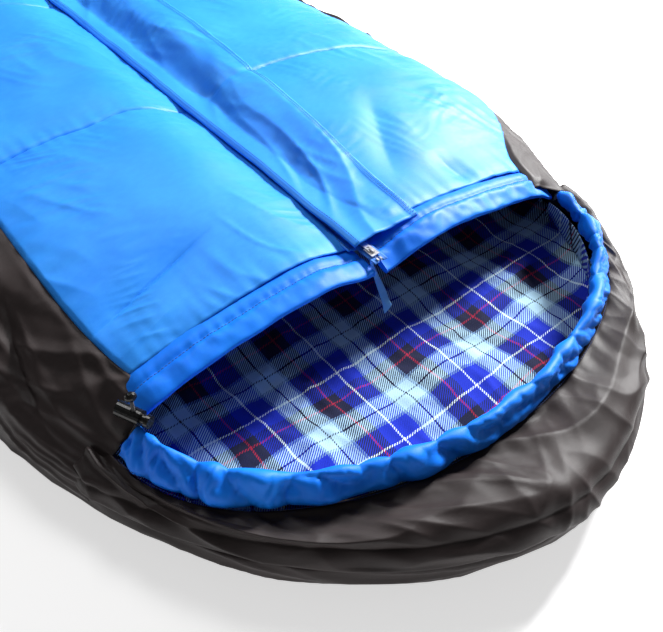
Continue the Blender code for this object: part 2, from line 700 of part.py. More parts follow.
BLUE = material("azure_taffeta", (0.02, 0.30, 0.90), 0.38)
HEM_BLUE = material("blue_satin", (0.02, 0.26, 0.85), 0.35)
CHARCOAL = material("charcoal_nylon", (0.060, 0.045, 0.045), 0.45)
PLAID = material("plaid_flannel", (0.07, 0.12, 0.45), 0.95)
BATTING = material("hollow_fibre", (0.85, 0.86, 0.88), 1.0)
TAPE_BLUE = material("zip_tape", (0.03, 0.25, 0.75), 0.7)
COIL_GREY = material("zip_coil", (0.05, 0.12, 0.35), 0.45)
STEEL = material("nickel_steel", (0.62, 0.62, 0.64), 0.3, 1.0)
LOCK_PLASTIC = material("lock_plastic", (0.012, 0.012, 0.014), 0.4)
LOCK_BUTTON = material("lock_button", (0.02, 0.02, 0.022), 0.45)
CORD_BLACK = material("black_cord", (0.015, 0.015, 0.016), 0.8)
RIBBON_BLUE = material("pull_ribbon", (0.16, 0.45, 0.85), 0.6)

make_bottom()
make_hood()
make_channel()
make_drawcord()
make_cord_lock()
for word, side in (("left", -1), ("right", 1)):
    fold_pivot = make_front(side, word)
flap = pad("zip_cover_flap", flap_place, 4, 16, lambda u, v: 0.0, lambda u, v: SKIN, BLUE)
hang_on(flap, fold_pivot)
box("zip_bottom_stop", (0.0086, 0.005, 0.004), (0, ZIP_END_Y + 0.0032, zip_z(ZIP_END_Y)), STEEL)
make_slider()
make_pulls()
make_foot_loops()
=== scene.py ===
"""The sleeping bag's looks, built on the CAD frame: quilts, flannel, gathered casings, stitching and zip."""
import json
import math

import bmesh
import bpy
import numpy as np
from mathutils import Matrix, Vector


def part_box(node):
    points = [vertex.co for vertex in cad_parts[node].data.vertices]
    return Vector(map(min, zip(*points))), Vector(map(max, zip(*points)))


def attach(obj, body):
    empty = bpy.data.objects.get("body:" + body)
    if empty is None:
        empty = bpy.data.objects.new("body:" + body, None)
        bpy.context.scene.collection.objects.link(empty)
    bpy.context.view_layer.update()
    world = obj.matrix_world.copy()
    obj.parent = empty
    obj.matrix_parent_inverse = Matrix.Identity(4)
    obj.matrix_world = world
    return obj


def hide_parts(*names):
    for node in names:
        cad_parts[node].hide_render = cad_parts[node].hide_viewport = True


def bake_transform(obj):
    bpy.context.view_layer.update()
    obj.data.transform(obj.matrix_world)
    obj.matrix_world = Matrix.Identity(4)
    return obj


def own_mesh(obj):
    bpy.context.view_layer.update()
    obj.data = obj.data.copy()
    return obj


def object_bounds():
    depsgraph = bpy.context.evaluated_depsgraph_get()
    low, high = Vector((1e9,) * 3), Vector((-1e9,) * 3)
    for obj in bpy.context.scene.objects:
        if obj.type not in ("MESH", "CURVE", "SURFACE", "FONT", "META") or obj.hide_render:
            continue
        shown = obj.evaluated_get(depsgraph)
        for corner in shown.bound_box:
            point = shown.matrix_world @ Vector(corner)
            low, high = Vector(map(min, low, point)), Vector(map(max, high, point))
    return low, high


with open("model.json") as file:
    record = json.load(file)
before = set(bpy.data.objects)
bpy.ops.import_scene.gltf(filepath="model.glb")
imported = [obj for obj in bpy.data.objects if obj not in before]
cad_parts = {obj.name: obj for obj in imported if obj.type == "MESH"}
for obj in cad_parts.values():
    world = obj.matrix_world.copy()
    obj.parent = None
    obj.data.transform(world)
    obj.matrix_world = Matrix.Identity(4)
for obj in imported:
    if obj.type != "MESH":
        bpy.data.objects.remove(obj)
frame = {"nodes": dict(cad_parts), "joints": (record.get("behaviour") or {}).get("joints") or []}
CAD_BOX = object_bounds()

# The bag's main sizes, as the CAD part has them
LENGTH = CAD_BOX[1][1] - CAD_BOX[0][1]
WIDTH = CAD_BOX[1][0] - CAD_BOX[0][0]
FOOT_WIDTH = 0.62
HEAD_CURVE, HEAD_POWER = 0.51, 1.9
FOOT_CURVE, FOOT_POWER = 0.16, 3.2
SHOULDER_Y = -LENGTH / 2 + HEAD_CURVE
FOOT_CURVE_Y = LENGTH / 2 - FOOT_CURVE
NECK_Y = -LENGTH / 2 + 0.31
SEAM_Z = 0.055
FLOOR_PAD_Z = 0.040
WALL = 0.036
CROWN_Z, NECK_CROWN_Z = 0.188, 0.162
QUILT = 0.042
EDGE_X, EDGE_HALF, VALLEY = 0.009, 0.003, 0.045
BLUE_U, BLUE_SHIFT, BLUE_SHIFT_LENGTH = 0.53, 0.25, 0.16
FULL, FULL_LENGTH = 0.55, 0.16
HEM_Y = NECK_Y + 0.047
QUILT_END_Y = LENGTH / 2 - 0.006
LOW_FOOT_Y = 0.86
ZIP_TOP_Y, ZIP_END_Y = NECK_Y + 0.002, 0.80
ZIP_Z_TOP, ZIP_Z_END = 0.150, 0.168
FOLD_X, FOLD_Y = 0.20, 0.45
BEND = 0.045
SEAM_RING, TOP_RING = (0.335, 0.206), (0.303, 0.190)
RING_END = 0.045
CHANNEL_LOW_Z, CHANNEL_HIGH_Z = (0.091, 0.077), (0.116, 0.108)
SEAM_LINES = (-0.415, -0.045, 0.325, 0.695)
FRONT_SEED = {-1: 11, 1: 47}
PLAID_REPEAT = 0.111
CORD_DIAMETER = 0.0035
SPRING_LENGTH, PLUNGER_PRESS = 0.0062, 0.004
CAMERA_PLACE, LENS_MM = (-0.4655, -1.2232, 0.6966), 41.67


# ---- noise and folds

def step(t):
    t = np.clip(t, 0.0, 1.0)
    return t * t * (3 - 2 * t)


def together(*parts):
    """Coordinates over one grid, each part spread to the shape of them all."""
    return np.stack(np.broadcast_arrays(*parts), -1)


def columns(count, start=0.0, end=1.0):
    """A row of evenly spaced values, for the columns of a grid."""
    return np.linspace(start, end, count)[None, :]


def around(sides):
    """Angles once round, for the columns of a tube."""
    return np.linspace(0, 2 * math.pi, sides, endpoint=False)[None, :]


def smoother(t):
    return t ** 3 * (t * (t * 6 - 15) + 10)


def noise(x, y, seed):
    """Smooth gradient noise over the plane, about -1 to 1, the same each run."""
    size = 128
    turns = np.random.default_rng(seed).uniform(0, 2 * math.pi, (size, size))
    x, y = np.broadcast_arrays(np.asarray(x, float), np.asarray(y, float))
    x0, y0 = np.floor(x).astype(int), np.floor(y).astype(int)
    fx, fy = x - x0, y - y0
    total = 0.0
    for i in (0, 1):
        for j in (0, 1):
            a = turns[(x0 + i) % size, (y0 + j) % size]
            dot = np.cos(a) * (fx - i) + np.sin(a) * (fy - j)
            total = total + dot * smoother(1 - abs(fx - i)) * smoother(1 - abs(fy - j))
    return total * 1.5


def turned(x, y, degrees):
    a = math.radians(degrees)
    return x * math.cos(a) + y * math.sin(a), -x * math.sin(a) + y * math.cos(a)


def folds(x, y, degrees, along, across, seed, sharp=1.6):
    """Long soft folds with narrow ridges, running at degrees; along and across are their length and width."""
    a, b = turned(x, y, degrees)
    a, b = a / along, b / across
    b = b + 0.6 * noise(a * 1.3 + 3.1, b * 0.4, seed + 1)
    ridge = 1 - np.abs(noise(a, b, seed)) * 1.7
    return np.clip(ridge, 0, 1) ** sharp


def crease(distance, deep, sharp_width, soft_width, share=0.55):
    """A sewn or pressed line: a narrow V inside a soft dip."""
    d = np.abs(distance)
    return -deep * (share * np.exp(-d / sharp_width) + (1 - share) * np.exp(-((d / soft_width) ** 2)))


def tuck(x, y, place, degrees, shape, room, long):
    """A short crease through a place given from the middle of the neck line; its ends fade out."""
    a, b = turned(x - place[0], y - NECK_Y - place[1], degrees)
    return crease(b, *shape) * step(room - np.abs(a) / long)


# ---- forms, as in the CAD part

def half_width(y):
    y = np.asarray(y, float)
    wide, narrow = WIDTH / 2, FOOT_WIDTH / 2
    head = np.clip((SHOULDER_Y - y) / HEAD_CURVE, 0, 1)
    foot = np.clip((y - FOOT_CURVE_Y) / FOOT_CURVE, 0, 1)
    middle = wide - (wide - narrow) * step((y - SHOULDER_Y) / (FOOT_CURVE_Y - SHOULDER_Y))
    at_head = wide * (1 - head ** HEAD_POWER) ** (1 / HEAD_POWER)
    at_foot = narrow * (1 - foot ** FOOT_POWER) ** (1 / FOOT_POWER)
    return np.where(y < SHOULDER_Y, at_head, np.where(y > FOOT_CURVE_Y, at_foot, middle))


def zip_z(y):
    return ZIP_Z_TOP + (ZIP_Z_END - ZIP_Z_TOP) * (y - ZIP_TOP_Y) / (ZIP_END_Y - ZIP_TOP_Y)


def crown_z(y):
    top = NECK_CROWN_Z + (CROWN_Z - NECK_CROWN_Z) * step((y - NECK_Y) / 0.33)
    fall = np.clip((y - LOW_FOOT_Y) / (LENGTH / 2 - LOW_FOOT_Y), 0, 1)
    return SEAM_Z + (top - SEAM_Z) * np.sqrt(1 - fall ** 2.4)


def blue_u(side, y):
    """Where the blue panel meets the charcoal side."""
    return BLUE_U + (BLUE_SHIFT * step((y - HEM_Y) / BLUE_SHIFT_LENGTH) if side > 0 else 0.0 * y)


def front_faces(u, y):
    """Outer and inner points of the right front quilt: u is 0 at the zip and 1 at the lower seam."""
    angle = u * math.pi / 2
    round_out = 1 - (1 - FULL) * step((y - HEM_Y) / FULL_LENGTH)
    level = np.maximum(np.cos(angle), 0.0) ** round_out
    width, top = half_width(y), crown_z(y)
    deep = np.minimum(QUILT, 0.55 * (top - SEAM_Z) + 0.004)
    middle = np.minimum(zip_z(y), top - deep / 2)
    faces = []
    for inset, drop, half in ((0.0, 0.0, EDGE_HALF), (WALL, deep, -EDGE_HALF)):
        x = EDGE_X + (width - inset - EDGE_X) * np.sin(angle)
        pinch = np.exp(-(((x - EDGE_X) / VALLEY) ** 2))
        z = SEAM_Z + (top - drop - SEAM_Z) * level
        faces.append(together(x, y, z + (middle + half - top + drop) * pinch))
    return faces


def ring_point(t, axes, ends):
    angle = np.pi * t
    dip = np.sin(angle)
    return np.stack([-axes[0] * np.cos(angle), NECK_Y - axes[1] * dip, ends[0] + (ends[1] - ends[0]) * dip], -1)


def head_outline(t):
    """The plan outline around the head, t from 0 at the left neck to 1 at the right neck."""
    reach = (SHOULDER_Y - NECK_Y) / HEAD_CURVE
    start = math.asin(reach ** (HEAD_POWER / 2))
    angle = start + (math.pi - 2 * start) * t
    across = np.sign(np.cos(angle)) * np.abs(np.cos(angle)) ** (2 / HEAD_POWER)
    return np.stack([-WIDTH / 2 * across, SHOULDER_Y - HEAD_CURVE * np.sin(angle) ** (2 / HEAD_POWER)], -1)


def channel_frame(t):
    t = RING_END / math.pi + (1 - 2 * RING_END / math.pi) * t
    low = ring_point(t, SEAM_RING, CHANNEL_LOW_Z)
    high = ring_point(t, TOP_RING, CHANNEL_HIGH_Z)
    ahead = ring_point(t + 0.001, SEAM_RING, CHANNEL_LOW_Z) - ring_point(t - 0.001, SEAM_RING, CHANNEL_LOW_Z)
    up = high - low
    out = np.cross(ahead, up)
    return (low + high) / 2, up, out / np.linalg.norm(out, axis=-1, keepdims=True)


# ---- meshes

def linked(name, data):
    obj = bpy.data.objects.new(name, data)
    bpy.context.collection.objects.link(obj)
    return obj


def normals(points):
    across = np.gradient(points, axis=1)
    along = np.gradient(points, axis=0)
    n = np.cross(across, along)
    return n / np.maximum(np.linalg.norm(n, axis=-1, keepdims=True), 1e-9)


def lifted(points, height, sign=1.0):
    """The surface moved along its normals; normals are turned to point up or out by sign."""
    return points + normals(points) * (sign * height)[..., None]


def cloth(name, points, uv, mat, flip=False, wall=0.0009, wrap=None, offset=-1.0):
    """A fabric piece over a grid of points, with its weave laid out in metres by uv, and real thickness.

    wrap joins the last column to the first; it is how far the layout has moved by then."""
    rows, cols = points.shape[:2]
    index = np.arange(rows * cols).reshape(rows, cols)
    if wrap is not None:
        index = np.concatenate([index, index[:, :1]], 1)
        uv = np.concatenate([uv, uv[:, :1] + [[list(wrap)]]], 1)
    corners = [index[:-1, :-1], index[:-1, 1:], index[1:, 1:], index[1:, :-1]]
    places = [uv[:-1, :-1], uv[:-1, 1:], uv[1:, 1:], uv[1:, :-1]]
    if flip:
        corners, places = corners[::-1], places[::-1]
    quads = np.stack(corners, -1).reshape(-1, 4)
    mesh = bpy.data.meshes.new(name)
    mesh.vertices.add(rows * cols)
    mesh.vertices.foreach_set("co", points.reshape(-1).astype(np.float32))
    mesh.loops.add(quads.size)
    mesh.loops.foreach_set("vertex_index", quads.reshape(-1).astype(np.int32))
    mesh.polygons.add(len(quads))
    mesh.polygons.foreach_set("loop_start", np.arange(0, quads.size, 4, dtype=np.int32))
    mesh.update(calc_edges=True)
    layer = mesh.uv_layers.new(name="weave")
    layer.data.foreach_set("uv", np.stack(places, -2).reshape(-1).astype(np.float32))
    mesh.shade_smooth()
    mesh.materials.append(mat)
    obj = linked(name, mesh)
    if wall:
        thick = obj.modifiers.new("fabric thickness", "SOLIDIFY")
        thick.thickness = wall
        thick.offset = offset
    return obj


def solid_object(name, verts, faces, mat, smooth=True):
    mesh = bpy.data.meshes.new(name)
    mesh.from_pydata([tuple(v) for v in verts], [], faces)
    mesh.update()
    if smooth:
        mesh.shade_smooth()
    mesh.materials.append(mat)
    obj = linked(name, mesh)
    return obj


def lengths_along(line):
    """How far along a polyline each of its points lies."""
    return np.concatenate([[0], np.cumsum(np.linalg.norm(np.diff(line, axis=0), axis=1))])


def spaced(line, gap):
    """Points gap apart along a polyline, with their directions."""
    line = np.asarray(line, float)
    lengths = lengths_along(line)
    at = np.arange(gap / 2, lengths[-1], gap)
    places = np.stack([np.interp(at, lengths, line[:, k]) for k in range(3)], -1)
    ahead = np.stack([np.interp(at + gap * 0.2, lengths, line[:, k]) for k in range(3)], -1)
    way = ahead - places
    return places, way / np.maximum(np.linalg.norm(way, axis=1, keepdims=True), 1e-9)


def tube_faces(base, rings, sides):
    """The faces of a closed tube whose rings of vertices follow one another from base."""
    faces = []
    for r in range(rings - 1):
        low, high = base + r * sides, base + (r + 1) * sides
        for k in range(sides):
            j = (k + 1) % sides
            faces.append((low + k, low + j, high + j, high + k))
    last = base + (rings - 1) * sides
    return faces + [tuple(range(base, base + sides))[::-1], tuple(range(last, last + sides))]


def stitches(name, lines, pitch=0.0042, long=0.0031):
    """Rows of sewing: each stitch is a short thread with rounded ends, lying along its line."""
    verts, faces = [], []
    thick = 0.0007
    profile = ((-0.5, 0.25), (-0.38, 0.9), (0.0, 1.0), (0.38, 0.9), (0.5, 0.25))
    sides = 6
    for line in lines:
        for place, way in zip(*spaced(line, pitch)):
            side = np.cross(way, (0.0, 0.0, 1.0))
            side = side / max(np.linalg.norm(side), 1e-9)
            up = np.cross(side, way)
            base = len(verts)
            for along, wide in profile:
                for k in range(sides):
                    a = 2 * math.pi * k / sides
                    ring = side * math.cos(a) + up * math.sin(a)
                    verts.append(place + way * along * long + ring * wide * thick / 2)
            faces += tube_faces(base, len(profile), sides)
    return solid_object(name, verts, faces, THREAD_BLUE)


def wire_mesh(name, line, radius, mat, sides=8):
    """A round wire along a line, with closed ends."""
    ahead = np.gradient(line, axis=0)
    ahead /= np.linalg.norm(ahead, axis=1, keepdims=True)
    verts = []
    side = np.cross(ahead[0], (0.3, 0.2, 0.9))
    for place, way in zip(line, ahead):
        side = side - way * side.dot(way)
        side = side / np.linalg.norm(side)
        up = np.cross(way, side)
        for k in range(sides):
            a = 2 * math.pi * k / sides
            verts.append(place + (side * math.cos(a) + up * math.sin(a)) * radius)
    return solid_object(name, verts, tube_faces(0, len(line), sides), mat)


# ---- materials

class Nodes:
    """A short way to wire shader nodes."""

    def __init__(self, name):
        self.material = bpy.data.materials.new(name)
        self.material.use_nodes = True
        self.tree = self.material.node_tree
        self.shader = self.tree.nodes["Principled BSDF"]

    def put(self, socket, value):
        """Sets a socket's value, or links it where the value is another node's output."""
        if isinstance(value, bpy.types.NodeSocket):
            self.tree.links.new(value, socket)
        else:
            socket.default_value = value

    def add(self, kind, values=None, **settings):
        node = self.tree.nodes.new(kind)
        for key, value in settings.items():
            setattr(node, key, value)
        for key, value in (values or {}).items():
            self.put(node.inputs[key], value)
        return node

    def math(self, operation, a, b=0.0):
        return self.add("ShaderNodeMath", {0: a, 1: b}, operation=operation).outputs[0]

    def plus(self, a, b):
        return self.math("ADD", a, b)

    def times(self, a, b):
        return self.math("MULTIPLY", a, b)

    def mix(self, factor, a, b):
        return self.add("ShaderNodeMix", {0: factor, 6: a, 7: b}, data_type="RGBA").outputs[2]

    def spread(self, value, low, high):
        """The value's part between low and high, spread to 0 to 1."""
        values = {"Value": value, "From Min": low, "From Max": high}
        return self.add("ShaderNodeMapRange", values, clamp=True).outputs[0]

    def bump(self, height, strength, distance, below=None):
        values = {"Height": height, "Strength": strength, "Distance": distance}
        if below is not None:
            values["Normal"] = below
        return self.add("ShaderNodeBump", values).outputs[0]

    def stretched(self, place, scale):
        return self.add("ShaderNodeMapping", {"Vector": place, "Scale": scale}).outputs[0]

    def speckle(self, place, scale, detail=2.0, rough=0.5):
        values = {"Vector": place, "Scale": scale, "Detail": detail, "Roughness": rough}
        return self.add("ShaderNodeTexNoise", values).outputs["Fac"]

    def on_cloth(self):
        """Metre coordinates in the cloth's own layout."""
        return self.add("ShaderNodeUVMap", uv_map="weave").outputs[0]

    def on_part(self):
        """The object's coordinates, for a part that has no layout."""
        return self.add("ShaderNodeTexCoord").outputs["Object"]

    def set(self, **values):
        for key, value in values.items():
            self.put(self.shader.inputs[key.replace("_", " ")], value)


def nylon(name, colour, deep, rough, spread, crinkle, sheen=0.25, spec=0.5):
    """A thin woven synthetic: fine warp and weft, small crinkles and slow changes of shade."""
    thread = 0.0008
    n = Nodes(name)
    place = n.on_cloth()
    slow = n.speckle(place, 9.0, 3.0)
    small = n.speckle(n.stretched(place, (90, 160, 90)), 1.0, 4.0, 0.6)
    axes = n.add("ShaderNodeSeparateXYZ", {0: place})
    warp, weft = (n.math("SINE", n.times(axes.outputs[k], 2 * math.pi / thread)) for k in (0, 1))
    grid = n.times(warp, weft)
    shade = n.spread(n.plus(n.times(slow, 0.7), n.times(small, 0.3)), 0.3, 0.7)
    n.set(Base_Color=n.mix(shade, (*deep, 1), (*colour, 1)))
    n.set(Roughness=n.plus(n.times(small, spread), rough - spread / 2))
    n.set(Sheen_Weight=sheen, Sheen_Roughness=0.35, Specular_IOR_Level=spec)
    fine = n.bump(grid, 0.20, 0.00012)
    rumple = n.bump(small, crinkle, 0.0016, fine)
    n.set(Normal=n.bump(n.speckle(n.stretched(place, (26, 40, 26)), 1.0, 3.0), crinkle * 0.8, 0.004, rumple))
    return n.material


def plaid(name):
    """Brushed twill: the same stripes in warp and weft, and a diagonal twill that shows one or the other."""
    n = Nodes(name)
    place = n.on_cloth()
    slow = n.speckle(place, 7.0, 2.0)
    axes = n.add("ShaderNodeSeparateXYZ", {0: place})
    white, ice, steel = (0.74, 0.86, 0.96, 1), (0.42, 0.65, 0.80, 1), (0.15, 0.27, 0.46, 1)
    black, navy, royal = (0.003, 0.004, 0.02, 1), (0.003, 0.004, 0.030, 1), (0.002, 0.020, 0.46, 1)
    red, fluff = (0.36, 0.006, 0.035, 1), (0.30, 0.36, 0.55, 1)
    bands = ((0.0, ice), (0.130, black), (0.152, ice), (0.28, steel), (0.31, navy), (0.470, red), (0.494, navy),
             (0.59, royal), (0.740, white), (0.764, royal), (0.965, steel))
    threads = []
    for axis, start in ((0, -0.254 - 0.142 * PLAID_REPEAT), (1, -0.768 - 0.142 * PLAID_REPEAT)):
        here = n.plus(axes.outputs[axis], n.times(n.math("SUBTRACT", slow, 0.5), 0.030))
        beyond = n.math("SUBTRACT", here, start - 20 * PLAID_REPEAT)
        ramp = n.add("ShaderNodeValToRGB", {0: n.math("FRACT", n.math("DIVIDE", beyond, PLAID_REPEAT))})
        ramp.color_ramp.interpolation = "CONSTANT"
        spots = ramp.color_ramp.elements
        spots[0].position, spots[0].color = bands[0]
        spots[1].position, spots[1].color = bands[1]
        for position, colour in bands[2:]:
            spots.new(position).color = colour
        threads.append(ramp.outputs[0])
    slant = n.plus(n.times(axes.outputs[0], 0.62), n.times(axes.outputs[1], -0.78))
    twill = n.math("FRACT", n.times(n.plus(slant, 5.0), 1 / 0.0023))
    over = n.math("SUBTRACT", n.spread(twill, 0.42, 0.58), n.spread(twill, 0.90, 1.0))
    fuzz = n.speckle(place, 900.0, 2.0)
    colour = n.mix(n.times(fuzz, 0.05), n.mix(over, threads[0], threads[1]), fluff)
    n.set(Base_Color=colour, Roughness=0.92, Sheen_Weight=0.04, Sheen_Roughness=0.6, Specular_IOR_Level=0.15)
    ribs = n.bump(over, 0.35, 0.0004)
    n.set(Normal=n.bump(fuzz, 0.5, 0.0006, ribs))
    return n.material


def moulded(name, colour, rough, grain=0.0002, metal=0.0, spec=0.5):
    """Moulded plastic or plated metal with fine grain and handling marks."""
    n = Nodes(name)
    place = n.on_part()
    marks = n.speckle(place, 240.0, 4.0, 0.6)
    wide = n.speckle(place, 60.0, 2.0)
    paler = tuple(min(1.0, c * 1.4 + 0.002) for c in colour)
    n.set(Base_Color=n.mix(n.times(wide, 0.6), (*colour, 1), (*paler, 1)), Metallic=metal)
    n.set(Roughness=n.plus(n.times(marks, 0.25), rough - 0.12), Specular_IOR_Level=spec)
    n.set(Normal=n.bump(n.speckle(place, 1500.0, 2.0), 0.3, grain))
    return n.material


def braid(name, colour):
    """Braided or webbed cord: crossed strands with a soft shine."""
    n = Nodes(name)
    axes = n.add("ShaderNodeSeparateXYZ", {0: n.on_part()})
    rest = n.plus(axes.outputs[1], axes.outputs[2])
    ways = [n.math(sign, axes.outputs[0], rest) for sign in ("ADD", "SUBTRACT")]
    strands = n.times(*(n.math("SINE", n.times(way, 4200.0)) for way in ways))
    lit = n.times(n.plus(strands, 1.0), 0.5)
    shaded = [c * 0.5 for c in colour]
    n.set(Base_Color=n.mix(lit, (*shaded, 1), (*colour, 1)), Roughness=0.62, Sheen_Weight=0.2)
    n.set(Normal=n.bump(strands, 0.5, 0.0004))
    return n.material


AZURE = nylon("azure_taffeta", (0.030, 0.33, 0.98), (0.010, 0.23, 0.92), 0.50, 0.14, 0.05,
              spec=0.30, sheen=0.02)
SATIN = nylon("blue_satin", (0.004, 0.25, 1.0), (0.001, 0.16, 0.90), 0.50, 0.12, 0.06, spec=0.24, sheen=0.02)
CHARCOAL = nylon("charcoal_nylon", (0.036, 0.026, 0.026), (0.020, 0.015, 0.015), 0.50, 0.12, 0.06,
                 spec=0.24, sheen=0.02)
PLAID = plaid("plaid_flannel")
TAPE = nylon("zip_tape_weave", (0.02, 0.20, 0.70), (0.012, 0.14, 0.6), 0.7, 0.1, 0.1, sheen=0.1)
COIL = moulded("coil_nylon", (0.02, 0.09, 0.30), 0.45)
STEEL = moulded("plated_steel", (0.60, 0.60, 0.62), 0.34, 0.00005, metal=1.0)
BLACK = moulded("lock_plastic", (0.003, 0.003, 0.003), 0.26, spec=0.35)
CORD = braid("black_braid", (0.030, 0.029, 0.030))
RIBBON = nylon("ribbon_weave", (0.24, 0.58, 0.95), (0.14, 0.44, 0.88), 0.45, 0.1, 0.1)
THREAD_BLUE = braid("blue_thread", (0.003, 0.055, 0.30))


# ---- camera, floor and light

def camera():
    yaw, pitch, roll = math.radians(42.39), math.radians(45.03), math.radians(3.83)
    ahead = Vector((math.sin(yaw) * math.cos(pitch), math.cos(yaw) * math.cos(pitch), -math.sin(pitch)))
    right = Vector((math.cos(yaw), -math.sin(yaw), 0))
    up = right.cross(ahead)
    across = right * math.cos(roll) + up * math.sin(roll)
    upward = -right * math.sin(roll) + up * math.cos(roll)
    data = bpy.data.cameras.new("camera")
    data.sensor_width = 36
    data.lens = LENS_MM
    data.clip_start = 0.02
    obj = linked("camera", data)
    obj.matrix_world = Matrix.Translation(CAMERA_PLACE) @ Matrix((across, upward, -ahead)).transposed().to_4x4()
    bpy.context.scene.camera = obj


def area_light(name, place, target, size, power):
    data = bpy.data.lights.new(name, "AREA")
    data.shape = "RECTANGLE"
    data.size = data.size_y = size
    data.energy = power
    obj = linked(name, data)
    obj.location = place
    obj.rotation_euler = (Vector(target) - Vector(place)).to_track_quat("-Z", "Y").to_euler()


def studio():
    mesh = bpy.data.meshes.new("studio_floor")
    mesh.from_pydata([(-9, -9, 0), (9, -9, 0), (9, 9, 0), (-9, 9, 0)], [], [(0, 1, 2, 3)])
    floor = linked("studio_floor", mesh)
    floor.location.z = -0.0006
    n = Nodes("studio_paper")
    shade = n.speckle(n.on_part(), 3.0)
    n.set(Base_Color=n.mix(shade, (0.96, 0.955, 0.955, 1), (0.98, 0.975, 0.975, 1)))
    n.set(Roughness=0.9, Specular_IOR_Level=0.1)
    n.set(Emission_Color=(1.0, 1.0, 1.0, 1), Emission_Strength=0.60)
    mesh.materials.append(n.material)
    scene = bpy.context.scene
    scene.world = world = bpy.data.worlds.new("studio")
    world.use_nodes = True
    sky = world.node_tree.nodes["Background"]
    sky.inputs[0].default_value = (1.0, 1.0, 1.0, 1)
    sky.inputs[1].default_value = 0.12
    area_light("key_light", (2.5, -0.25, 1.75), (0.0, -0.7, 0.1), 0.6, 235)
    area_light("top_light", (0.2, 0.9, 2.6), (-0.1, -0.6, 0.1), 0.9, 26)
    scene.view_settings.view_transform = "Standard"
    scene.view_settings.look = "None"


# ---- quilts

def fold_line(side):
    """Start and end of the bend zone of one front corner, across its fold line."""
    top = Vector((side * FOLD_X, NECK_Y, zip_z(NECK_Y)))
    low = Vector((0.0, FOLD_Y, zip_z(FOLD_Y)))
    way = low - top
    to_zip = Vector((way.y, -way.x, 0.0)).normalized()
    if to_zip.x * side > 0:
        to_zip.negate()
    middle = (top + low) / 2
    return middle - to_zip * BEND, middle + to_zip * BEND


def bend(piece, word):
    side = -1 if word == "left" else 1
    start, end = fold_line(side)
    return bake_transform(piece)


def seam_bow(x, k, side):
    """How far quilt seam k bends away from its straight line at distance x from the zip."""
    return 0.012 * np.sin(x * 9 + k) + 0.004 * noise(x / 0.05, 0.5, FRONT_SEED[side] + k)


def front_height(x, y, side):
    """How far the azure skin stands out from or into the CAD's outer face at plan distance x from the zip."""
    seed = FRONT_SEED[side]
    h = 0.0035 * noise(x / 0.17, y / 0.23, seed) + 0.0012 * noise(x / 0.06, y / 0.07, seed + 3)
    for k, line in enumerate(SEAM_LINES):
        gap = y - line - seam_bow(x, k, side)
        h += crease(gap, 0.0078, 0.0022, 0.034, 0.55)
        pucker = noise(x / 0.012, y / 0.08, seed + 20 + k)
        h += 0.0009 * pucker * np.exp(-np.abs(gap) / 0.022)
    zip_pull = np.exp(-x / 0.030)
    h += 0.0009 * zip_pull * noise(y / 0.016, x / 0.09, seed + 5)
    hem_pull = np.exp(-(y - HEM_Y) / 0.035)
    h += 0.0010 * hem_pull * noise(x / 0.014, y / 0.12, seed + 6)
    edge = np.exp(-np.maximum(0.305 - x, 0) / 0.028)
    h += 0.0014 * edge * noise(y / 0.017, x / 0.1, seed + 7)
    patch = step(noise(x / 0.13, y / 0.16, seed + 8) * 1.4 + 0.25)
    fold_height = 0.0012 if side < 0 else 0.0024
    h += fold_height * patch * (folds(x, y, 62 if side < 0 else 118, 0.16, 0.030, seed + 9) - 0.3)
    patch = step(noise(x / 0.09, y / 0.11, seed + 12) * 1.5)
    h += 0.0012 * (folds(x, y, 20, 0.10, 0.016, seed + 10) - 0.3) * patch
    if side < 0:
        h += tuck(x, y, (0.215, 0.118), 167, (0.0066, 0.0016, 0.014, 0.5), 1.25, 0.080)
        return h - tuck(x, y, (0.25, 0.068), 168, (0.0025, 0.0040, 0.014), 1.2, 0.05)
    h += tuck(x, y, (0.15, 0.17), 60, (0.0060, 0.012, 0.022, 0.3), 1.2, 0.09)
    return h + tuck(x, y, (0.19, 0.075), 95, (0.0055, 0.008, 0.018, 0.4), 1.2, 0.035)


def rows_along(start, end, fine_to, fine, coarse):
    """Row positions that are close together up to fine_to and wider beyond."""
    near = np.arange(start, fine_to - fine / 2, fine)
    far = np.linspace(fine_to, end, max(int((end - fine_to) / coarse), 2))
    return np.concatenate([near, far])


def apart(rows, gap=0.0004):
    """The rows in order, without any that nearly repeat the one before: a repeated row has no normals."""
    rows = np.unique(rows)
    return rows[np.concatenate([[True], np.diff(rows) > gap])]


def to_the_foot(rows):
    """The rows, carried on with closer and closer ones to the foot's end, where the front turns down."""
    end = LENGTH / 2
    last = end - 0.05 * np.linspace(1.0, 0.03, 40) ** 2
    return np.concatenate([rows[rows < end - 0.0504], last])


def with_seams(rows, reach=0.022, gap=0.0011):
    """The rows, closer together around the quilt seams and the short tuck near the neck."""
    spans = [(line - reach, line + reach) for line in SEAM_LINES] + [(NECK_Y + 0.060, NECK_Y + 0.150)]
    extra = [np.arange(low, high, gap) for low, high in spans]
    kept = [r for r in rows if all(r < low or r > high for low, high in spans)]
    return apart(np.concatenate([kept, *extra]))


def meeting(base):
    """How far a front's edge moves over to meet the other front, beyond the end of the zip."""
    past = step((base[..., 1] - ZIP_END_Y + 0.012) / 0.020)
    return (EDGE_X - 0.0004) * past * np.exp(-np.maximum(base[..., 0] - EDGE_X, 0) / 0.05)


